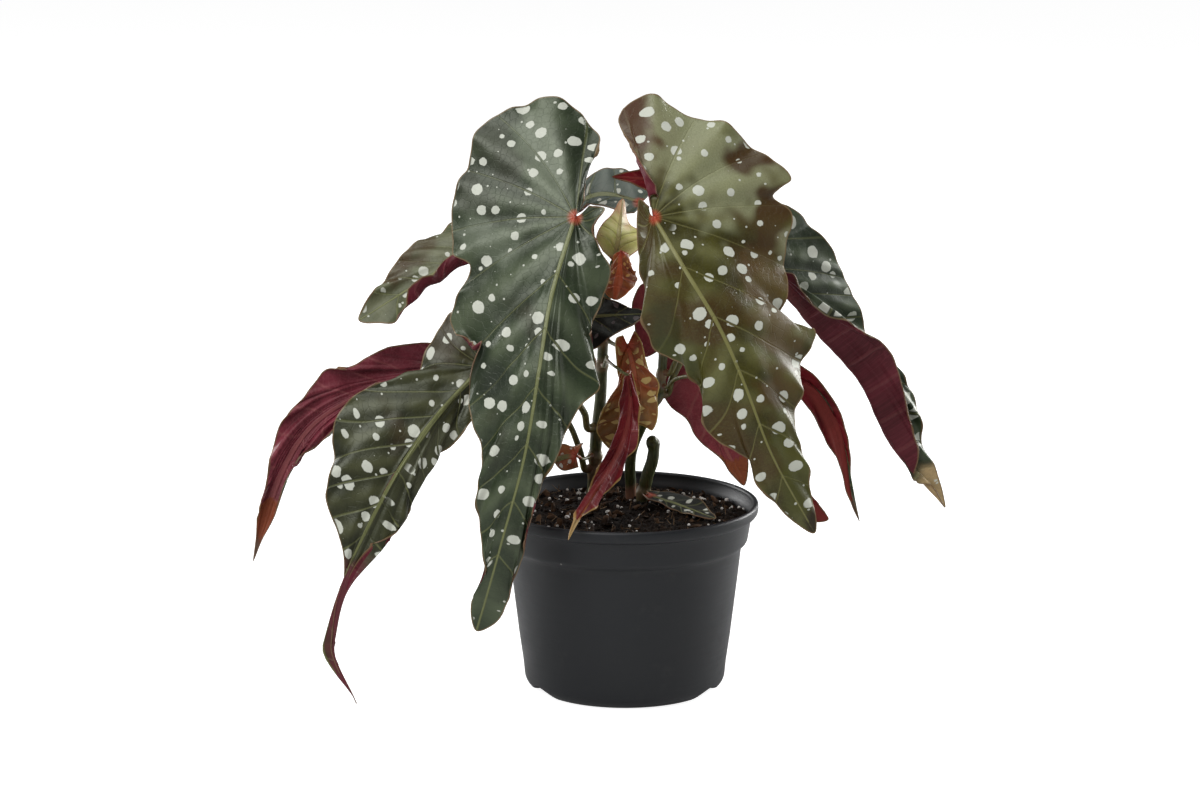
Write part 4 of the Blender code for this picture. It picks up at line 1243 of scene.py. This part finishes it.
def spot_mask(tree, leaf, look):
    """White spots of many sizes, clear of the veins, and a dust of tiny ones."""
    small, large = look["spots"]
    pitch = look["pitch_of_spots"]
    cell = cells(tree, leaf["place"], 1 / pitch, 0.8, flat=True)
    apart = times(tree, cell.outputs["Distance"], pitch)
    dice = dice_of(tree, cell)
    size = calc(tree, "MULTIPLY_ADD", dice[0], large - small, small)
    size = times(tree, size, step(tree, dice[1], look["bare"] - 0.02, look["bare"] + 0.02))
    ragged = times(tree, calc(tree, "SUBTRACT", cloud(tree, leaf["place"], 0.55, 2.0), 0.5), 1.1)
    inside = calc(tree, "ADD", calc(tree, "SUBTRACT", size, apart), ragged)
    mask = step(tree, inside, -0.02, 0.28)
    junction = (0.04 * look["reach"] + 1.5, 0.07 * look["reach"] + 2.0)
    bare_of = dict(edge=(0.7, 1.3), vein=(0.35, 0.8), rib=(0.8, 1.6), far=junction)
    for part, (bare, spotted) in bare_of.items():
        mask = times(tree, mask, step(tree, leaf[part], bare, spotted))
    tiny = cells(tree, leaf["place"], 0.19, 1.0, flat=True)
    reach = times(tree, step(tree, dice_of(tree, tiny)[0], 0.72, 1.0), 0.12)
    tiny = step(tree, calc(tree, "SUBTRACT", reach, tiny.outputs["Distance"]), 0.0, 0.03)
    tiny = times(tree, tiny, step(tree, leaf["edge"], 0.7, 1.3))
    return calc(tree, "MAXIMUM", mask, times(tree, tiny, look["dust"]))


print("leaf readers ready")


# %% Upper skin, underside and margin
JUNCTION_RED = (0.40, 0.060, 0.028)
GREEN_SHEEN, RED_SHEEN = (0.95, 1.0, 0.84, 1.0), (1.0, 0.88, 0.84, 1.0)


def upper_skin(name, look):
    """The waxy upper side with veins, midrib, spots and margin, and a paler green painted on its bulges as
    sheen.
    """
    deep, green, painted_sheen, brown = GREENS[look["green"]]
    made, tree, shader, _ = finish(name + "_upper")
    leaf = leaf_values(tree)
    spots = spot_mask(tree, leaf, look)
    drift = cloud(tree, leaf["place"], 0.045, 3.0)
    fine = cloud(tree, leaf["place"], 1.3, 4.0, 0.6)
    colour = mixed(tree, step(tree, drift, 0.38, 0.62), deep, green)
    # Painted sheen: the bulges between the veins are painted paler green, as if they caught the light, more
    # in some drifts than in others.
    bulge = step(tree, leaf["swell"], 0.25, 1.0)
    bulge = times(tree, bulge, step(tree, drift, 0.30, 0.60, 0.25, 0.75))
    colour = mixed(tree, bulge, colour, painted_sheen)
    patch = step(tree, cloud(tree, leaf["place"], 0.030, 2.0), *look["patch"])
    colour = mixed(tree, times(tree, patch, 0.85), colour, brown)
    colour = mixed(tree, step(tree, fine, 0.35, 0.75, 0.0, 0.30), colour, mixed(tree, 0.5, green, painted_sheen))
    line = veinlets(tree, leaf, 0.34, 0.07)
    colour = mixed(tree, times(tree, line, 0.16), colour, deep)
    fading = step(tree, leaf["out"], look["reach"] * 0.5, 4.0, 0.35, 1.0)
    vein = times(tree, step(tree, leaf["vein"], 0.50, 0.10), fading)
    rib_wide = calc(tree, "SUBTRACT", leaf["rib"], step(tree, leaf["u"], 10.0, look["reach"], 0.75, 0.0))
    rib = times(tree, step(tree, rib_wide, 0.35, 0.05), step(tree, leaf["u"], 0.0, 1.0))
    colour = mixed(tree, times(tree, vein, 0.45), colour, look["veins"])
    stroke, cover = stroke_layer(tree)
    colour = mixed(tree, cover, colour, mixed(tree, step(tree, fine, 0.3, 0.8, 0.0, 0.3), stroke, deep))
    clear = step(tree, cover, 0.92, 0.80)
    spots = times(tree, spots, clear)
    rib = times(tree, rib, step(tree, cover, 0.98, 0.86))
    colour = mixed(tree, times(tree, spots, 0.96), colour, look["white"])
    colour = mixed(tree, times(tree, rib, 0.85), colour, look["veins"])
    colour = mixed(tree, step(tree, leaf["far"], 4.6, 1.2), colour, JUNCTION_RED)
    colour = mixed(tree, step(tree, leaf["edge"], 0.75, 0.25, 0.0, 0.9), colour, look["hem"])
    put(tree, shader.inputs["Base Color"], colour)
    gloss = calc(tree, "MULTIPLY_ADD", fine, 0.16, look["gloss"])
    put(tree, shader.inputs["Roughness"], calc(tree, "MULTIPLY_ADD", spots, 0.12, gloss))
    shader.inputs["Specular IOR Level"].default_value = look["shine"]
    shader.inputs["Specular Tint"].default_value = GREEN_SHEEN
    shader.inputs["Coat Weight"].default_value = 0.08
    shader.inputs["Coat Roughness"].default_value = 0.25
    skin = raised(tree, calc(tree, "MULTIPLY_ADD", line, -0.6, times(tree, fine, 0.5)), 0.12, 0.6)
    skin = raised(tree, spots, 0.10, 0.5, skin)
    ridge = calc(tree, "SUBTRACT", rib, times(tree, vein, 0.7))
    put(tree, shader.inputs["Normal"], raised(tree, ridge, 0.35, 0.8, skin))
    return made


def under_skin(name, look):
    """The wine-red underside with its raised, paler veins."""
    dark, red, pale, veins = REDS[look["red"]]
    made, tree, shader, _ = finish(name + "_under")
    leaf = leaf_values(tree)
    drift = cloud(tree, leaf["place"], 0.06, 3.0)
    fine = cloud(tree, leaf["place"], 1.1, 4.0, 0.65)
    colour = mixed(tree, step(tree, drift, 0.36, 0.64), dark, red)
    colour = mixed(tree, step(tree, fine, 0.40, 0.80, 0.0, 0.45), colour, pale)
    line = veinlets(tree, leaf, 0.32, 0.08)
    colour = mixed(tree, times(tree, line, 0.22), colour, pale)
    vein = step(tree, leaf["vein"], 0.75, 0.15)
    rib = step(tree, leaf["rib"], 1.05, 0.45)
    both = calc(tree, "MAXIMUM", times(tree, vein, 0.38), times(tree, rib, 0.80))
    colour = mixed(tree, times(tree, both, 0.62), colour, veins)
    stroke, cover = stroke_layer(tree)
    cover = step(tree, cover, 0.76, 0.86)
    colour = mixed(tree, cover, colour, mixed(tree, step(tree, fine, 0.3, 0.8, 0.0, 0.4), stroke, dark))
    colour = mixed(tree, step(tree, leaf["edge"], 0.8, 0.3, 0.0, 0.8), colour, look["hem"])
    put(tree, shader.inputs["Base Color"], colour)
    put(tree, shader.inputs["Roughness"], step(tree, fine, 0.2, 0.8, 0.38, 0.55))
    shader.inputs["Specular IOR Level"].default_value = 0.24
    shader.inputs["Specular Tint"].default_value = RED_SHEEN
    skin = raised(tree, calc(tree, "MULTIPLY_ADD", line, 0.5, times(tree, fine, 0.6)), 0.12, 0.6)
    put(tree, shader.inputs["Normal"], raised(tree, both, 0.5, 0.9, skin))
    return made


def margin_skin(name, look):
    """The thin tan or red rim."""
    made, tree, shader, here = finish(name + "_margin")
    reddish = mixed(tree, 0.5, look["hem"], REDS[look["red"]][1])
    shade = mixed(tree, cloud(tree, here, 260.0), look["hem"], reddish)
    put(tree, shader.inputs["Base Color"], shade)
    shader.inputs["Roughness"].default_value = 0.5
    return made


print("skin finishes ready")

# %% [markdown]
# ## What each leaf looks like
#
# The two front leaves differ: the left one is dark green, the right one has bronzed in the light. Lower
# leaves show their undersides. Every leaf names its colours, the space between veins, how strongly it
# bulges and waves, where its margin curls over, and strokes for what is local: brown patches, a scorched
# or papery tip, a tail that shows its underside, and on the two front leaves, painted sheen on the upper
# lobes. Places are in millimetres in the plant's own frame.

# %% Looks of the leaves
PLAIN = dict(
    green="forest",
    red="maroon",
    gap=15.0,
    spots=(1.1, 2.9),
    pitch_of_spots=10.0,
    dust=0.9,
    bulge=1.7,
    wave=1.5,
    gloss=0.35,
    patch=(0.62, 0.80),
    veins=(0.155, 0.165, 0.060),
    white=(0.53, 0.545, 0.475),
    hem=(0.165, 0.105, 0.050),
    pitch=1.5,
    bare=0.26,
    shine=0.42,
    calm=60,
    open=False,
    tail=None,
    carrier=None,
    rolls=(),
    strokes=(),
)
BROWN = (0.052, 0.018, 0.005)
RUST = (0.200, 0.050, 0.018)
DRY = (0.420, 0.300, 0.150)
TAIL = (0.115, 0.014, 0.026)
LEAVES = {
    "leaf_front_left": dict(
        open=True,
        calm=170,
        shine=0.52,
        gap=22.0,
        bulge=3.0,
        rolls=[((-73, -38, 167), (-68, -50, 147), 4.0, 230)],
        strokes=[
            ((-60, -8, 250), (-50, -18, 240), 9, (0.014, 0.014, 0.007), 0.75),
            ((-72, -15, 231), (-62, -24, 222), 8, (0.012, 0.013, 0.006), 0.70),
            # These two pale sage strokes are painted sheen on the upper lobes.
            ((-40, -12, 256), (-34, -26, 236), 9, (0.150, 0.175, 0.120), 0.60),
            ((-66, -26, 212), (-52, -34, 206), 8, (0.135, 0.160, 0.110), 0.55),
            ((-62, -48, 158), (-50, -56, 150), 9, (0.012, 0.018, 0.014), 0.5),
        ],
    ),
    "leaf_front_right": dict(
        green="bronze",
        open=True,
        calm=130,
        shine=0.36,
        gap=22.0,
        bulge=3.0,
        rolls=[((5, -22, 244), (11, -32, 229), 5.5, 170)],
        patch=(0.46, 0.62),
        strokes=[
            # A broad pale sage stroke: painted sheen on the upper lobes.
            ((20, -8, 254), (46, -14, 232), 25, (0.300, 0.315, 0.180), 0.68),
            ((1, -5, 261), (5, -12, 248), 10, (0.070, 0.020, 0.012), 0.7),
            ((60, -9, 245), (50, -12, 240), 8, BROWN, 0.72),
            ((66, -18, 222), (60, -24, 208), 9, BROWN, 0.75),
            # A pale stroke: painted sheen on the top of the right lobe.
            ((74, -24, 206), (70, -30, 192), 8, (0.290, 0.280, 0.170), 0.65),
            ((60, -30, 190), (62, -46, 148), 15, (0.085, 0.040, 0.009), 0.72),
            ((58, -52, 140), (62, -54, 124), 9, (0.060, 0.024, 0.006), 0.6),
            ((14, -32, 200), (22, -48, 160), 9, (0.026, 0.034, 0.008), 0.6),
            ((76, -58, 104), (70, -56, 124), 10, (0.075, 0.080, 0.012), 0.55),
            ((82, -60, 85), (81, -60, 90), 5, (0.020, 0.010, 0.006), 0.95),
        ],
        veins=(0.190, 0.180, 0.060),
    ),
    "leaf_upper_left": dict(
        green="olive",
        gap=12.0,
        spots=(1.0, 2.4),
        pitch_of_spots=8.5,
        rolls=[((-99, -12, 172), (-66, 4, 192), 8.0, 165)],
        strokes=[
            ((-98, 20, 197), (-106, 9, 186), 6, BROWN, 0.7),
            ((-88, 26, 199), (-92, 16, 190), 5, BROWN, 0.6),
        ],
    ),
    "leaf_lower_left": dict(
        green="dusk",
        open=True,
        gap=13.0,
        spots=(1.1, 2.8),
        pitch_of_spots=9.0,
        bare=0.15,
        tail=(0.50, 0.70, 0.42),
        calm=110,
        strokes=[
            ((-76, -32, 139), (-112, -51, 80), 3.5, (0.024, 0.026, 0.008), 0.9),
            ((-121, -55, 58), (-118, -60, 6), 13, TAIL, 1.0),
            ((-76, -12, 170), (-82, -16, 160), 10, (0.026, 0.010, 0.003), 0.74),
            ((-78, -34, 120), (-92, -40, 108), 9, (0.070, 0.072, 0.040), 0.6),
        ],
    ),
    "leaf_far_left": dict(
        red="wine",
        gap=13.0,
        tail=(0.80, 0.96, 0.32),
        strokes=[
            ((-104, 2, 120), (-140, -1, 100), 6, (0.210, 0.055, 0.075), 0.9),
            ((-157, -11, 84), (-163, -15, 70), 8, RUST, 0.85),
            ((-165, -17, 66), (-166, -17, 60), 6, (0.110, 0.075, 0.050), 0.95),
        ],
    ),
    "leaf_right_back": dict(
        gap=13.0,
        spots=(1.2, 3.0),
        strokes=[
            ((66, 2, 180), (76, 3, 174), 6, (0.210, 0.016, 0.028), 0.9),
            ((139, 20, 88), (146, 20, 77), 8, DRY, 0.97),
            ((139, 22, 92), (144, 24, 92), 6, DRY, 0.97),
        ],
    ),
    "leaf_thin_right": dict(
        red="crimson",
        gap=9.0,
        bulge=0.6,
        wave=0.6,
        strokes=[((104, -7, 84), (105, -7, 77), 6, (0.090, 0.080, 0.070), 0.9)],
    ),
    "leaf_upper_back": dict(
        green="grey",
        gap=10.0,
        spots=(0.9, 2.2),
        pitch_of_spots=9.0,
        bulge=0.9,
        wave=0.8,
    ),
    "leaf_back_sliver": dict(red="crimson", gap=8.0, bulge=0.4, wave=0.4),
    "leaf_centre_right": dict(
        red="rose",
        gap=11.0,
        bulge=0.9,
        wave=0.9,
        strokes=[((51, 12, 99), (54, 12, 90), 10, (0.300, 0.085, 0.028), 0.85)],
    ),
    "leaf_young_spotted": dict(
        green="ember",
        red="crimson",
        gap=6.5,
        spots=(1.0, 1.9),
        bare=0.05,
        pitch_of_spots=5.0,
        bulge=0.7,
        wave=0.8,
        white=(0.50, 0.36, 0.13),
        veins=(0.42, 0.09, 0.03),
        hem=(0.40, 0.28, 0.08),
        strokes=[
            ((-9, -15, 128), (-7, -18, 114), 8, (0.130, 0.090, 0.020), 0.7),
            ((12, -15, 132), (11, -17, 121), 7, (0.150, 0.100, 0.025), 0.6),
        ],
        pitch=0.8,
    ),
    "leaf_young_keel": dict(
        green="ember",
        red="crimson",
        gap=7.0,
        spots=(0.7, 1.5),
        bare=0.05,
        pitch_of_spots=5.0,
        bulge=0.7,
        wave=0.8,
        white=(0.46, 0.34, 0.15),
        hem=(0.38, 0.25, 0.08),
        strokes=[((-23, -64, 88), (-25, -68, 84), 6, (0.380, 0.280, 0.130), 0.9)],
        pitch=0.8,
    ),
    "leaf_dark_centre": dict(
        green="night",
        gap=9.0,
        spots=(0.7, 1.7),
        pitch_of_spots=6.5,
        bulge=0.6,
        wave=0.6,
        white=(0.11, 0.10, 0.10),
        shine=0.18,
        gloss=0.36,
        pitch=0.8,
    ),
    "leaf_on_soil": dict(
        green="night",
        gap=8.0,
        spots=(0.8, 1.7),
        pitch_of_spots=5.5,
        bulge=0.5,
        wave=0.5,
        gloss=0.45,
        pitch=0.8,
    ),
    "leaf_low_red": dict(
        green="ember",
        red="crimson",
        gap=6.0,
        spots=(0.6, 1.2),
        pitch_of_spots=4.5,
        bulge=0.5,
        wave=0.6,
        pitch=0.6,
    ),
    "leaf_tip_red": dict(
        green="ember",
        red="crimson",
        gap=7.0,
        spots=(0.5, 1.0),
        pitch_of_spots=4.0,
        bulge=0.4,
        wave=0.5,
        pitch=0.8,
    ),
    "bud_sheath": dict(
        green="sheath",
        red="sheath",
        carrier="cane_main",
        gap=5.0,
        spots=(0.0, 0.01),
        dust=0.0,
        strokes=[
            ((-1, 2, 223), (-3, -2, 212), 5, (0.66, 0.34, 0.25), 0.7),
            ((-9, -4, 206), (-8, -5, 198), 4, (0.50, 0.20, 0.16), 0.6),
        ],
        bulge=0.25,
        wave=0.4,
        veins=(0.34, 0.30, 0.12),
        hem=(0.45, 0.22, 0.12),
        gloss=0.34,
        pitch=0.6,
    ),
    "baby_leaf": dict(
        green="ember",
        red="crimson",
        carrier="baby_stalk",
        gap=4.5,
        spots=(0.5, 1.0),
        bare=0.08,
        pitch_of_spots=3.2,
        bulge=0.9,
        wave=1.0,
        veins=(0.46, 0.09, 0.03),
        white=(0.56, 0.30, 0.09),
        hem=(0.45, 0.16, 0.05),
        pitch=0.5,
    ),
}
print(len(LEAVES), "leaves to make")


# %% Make every leaf
BLADE_THICKNESS = 0.42


def make_leaf(node, look, seed):
    """One leaf in the place of its plain solid."""
    carrier = look["carrier"] or node.replace("leaf", "stalk")
    grid, whole = blade_grid(node, carrier)
    rows = weave(grid, look["pitch"], look["calm"])
    rows = in_order(rows) if look["open"] else rows
    u, v, edge, tip = flat_map(rows)
    look["reach"] = float(np.hypot(u, v).max())
    lines = vein_lines(look["reach"], look["gap"])
    number, width, out = number_veins(u, v, lines, look["gap"])
    keep = 1.0
    if look["tail"]:
        first, last, share = look["tail"]
        rows, keep = draw_in(rows, u, tip, first * look["reach"], last * look["reach"], share)
    rows = shape_blade(rows, u, v, edge, number, width, look, seed, keep)
    title = node.replace("leaf_", "blade_")
    piece = blade_mesh(title, rows, dict(place=(u, v), rows=(number, out), sizes=(width, edge)))
    for made in (upper_skin(title, look), under_skin(title, look), margin_skin(title, look)):
        piece.data.materials.append(made)
    thicken(piece, BLADE_THICKNESS)
    paint(piece, look["strokes"])
    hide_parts(node)
    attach(piece, "root")
    return piece, whole


for seed, (node, own) in enumerate(LEAVES.items()):
    piece, whole = make_leaf(node, {**PLAIN, **own}, seed + 1)
    print(piece.name, len(piece.data.polygons), "faces", "" if whole else "INCOMPLETE GRID")
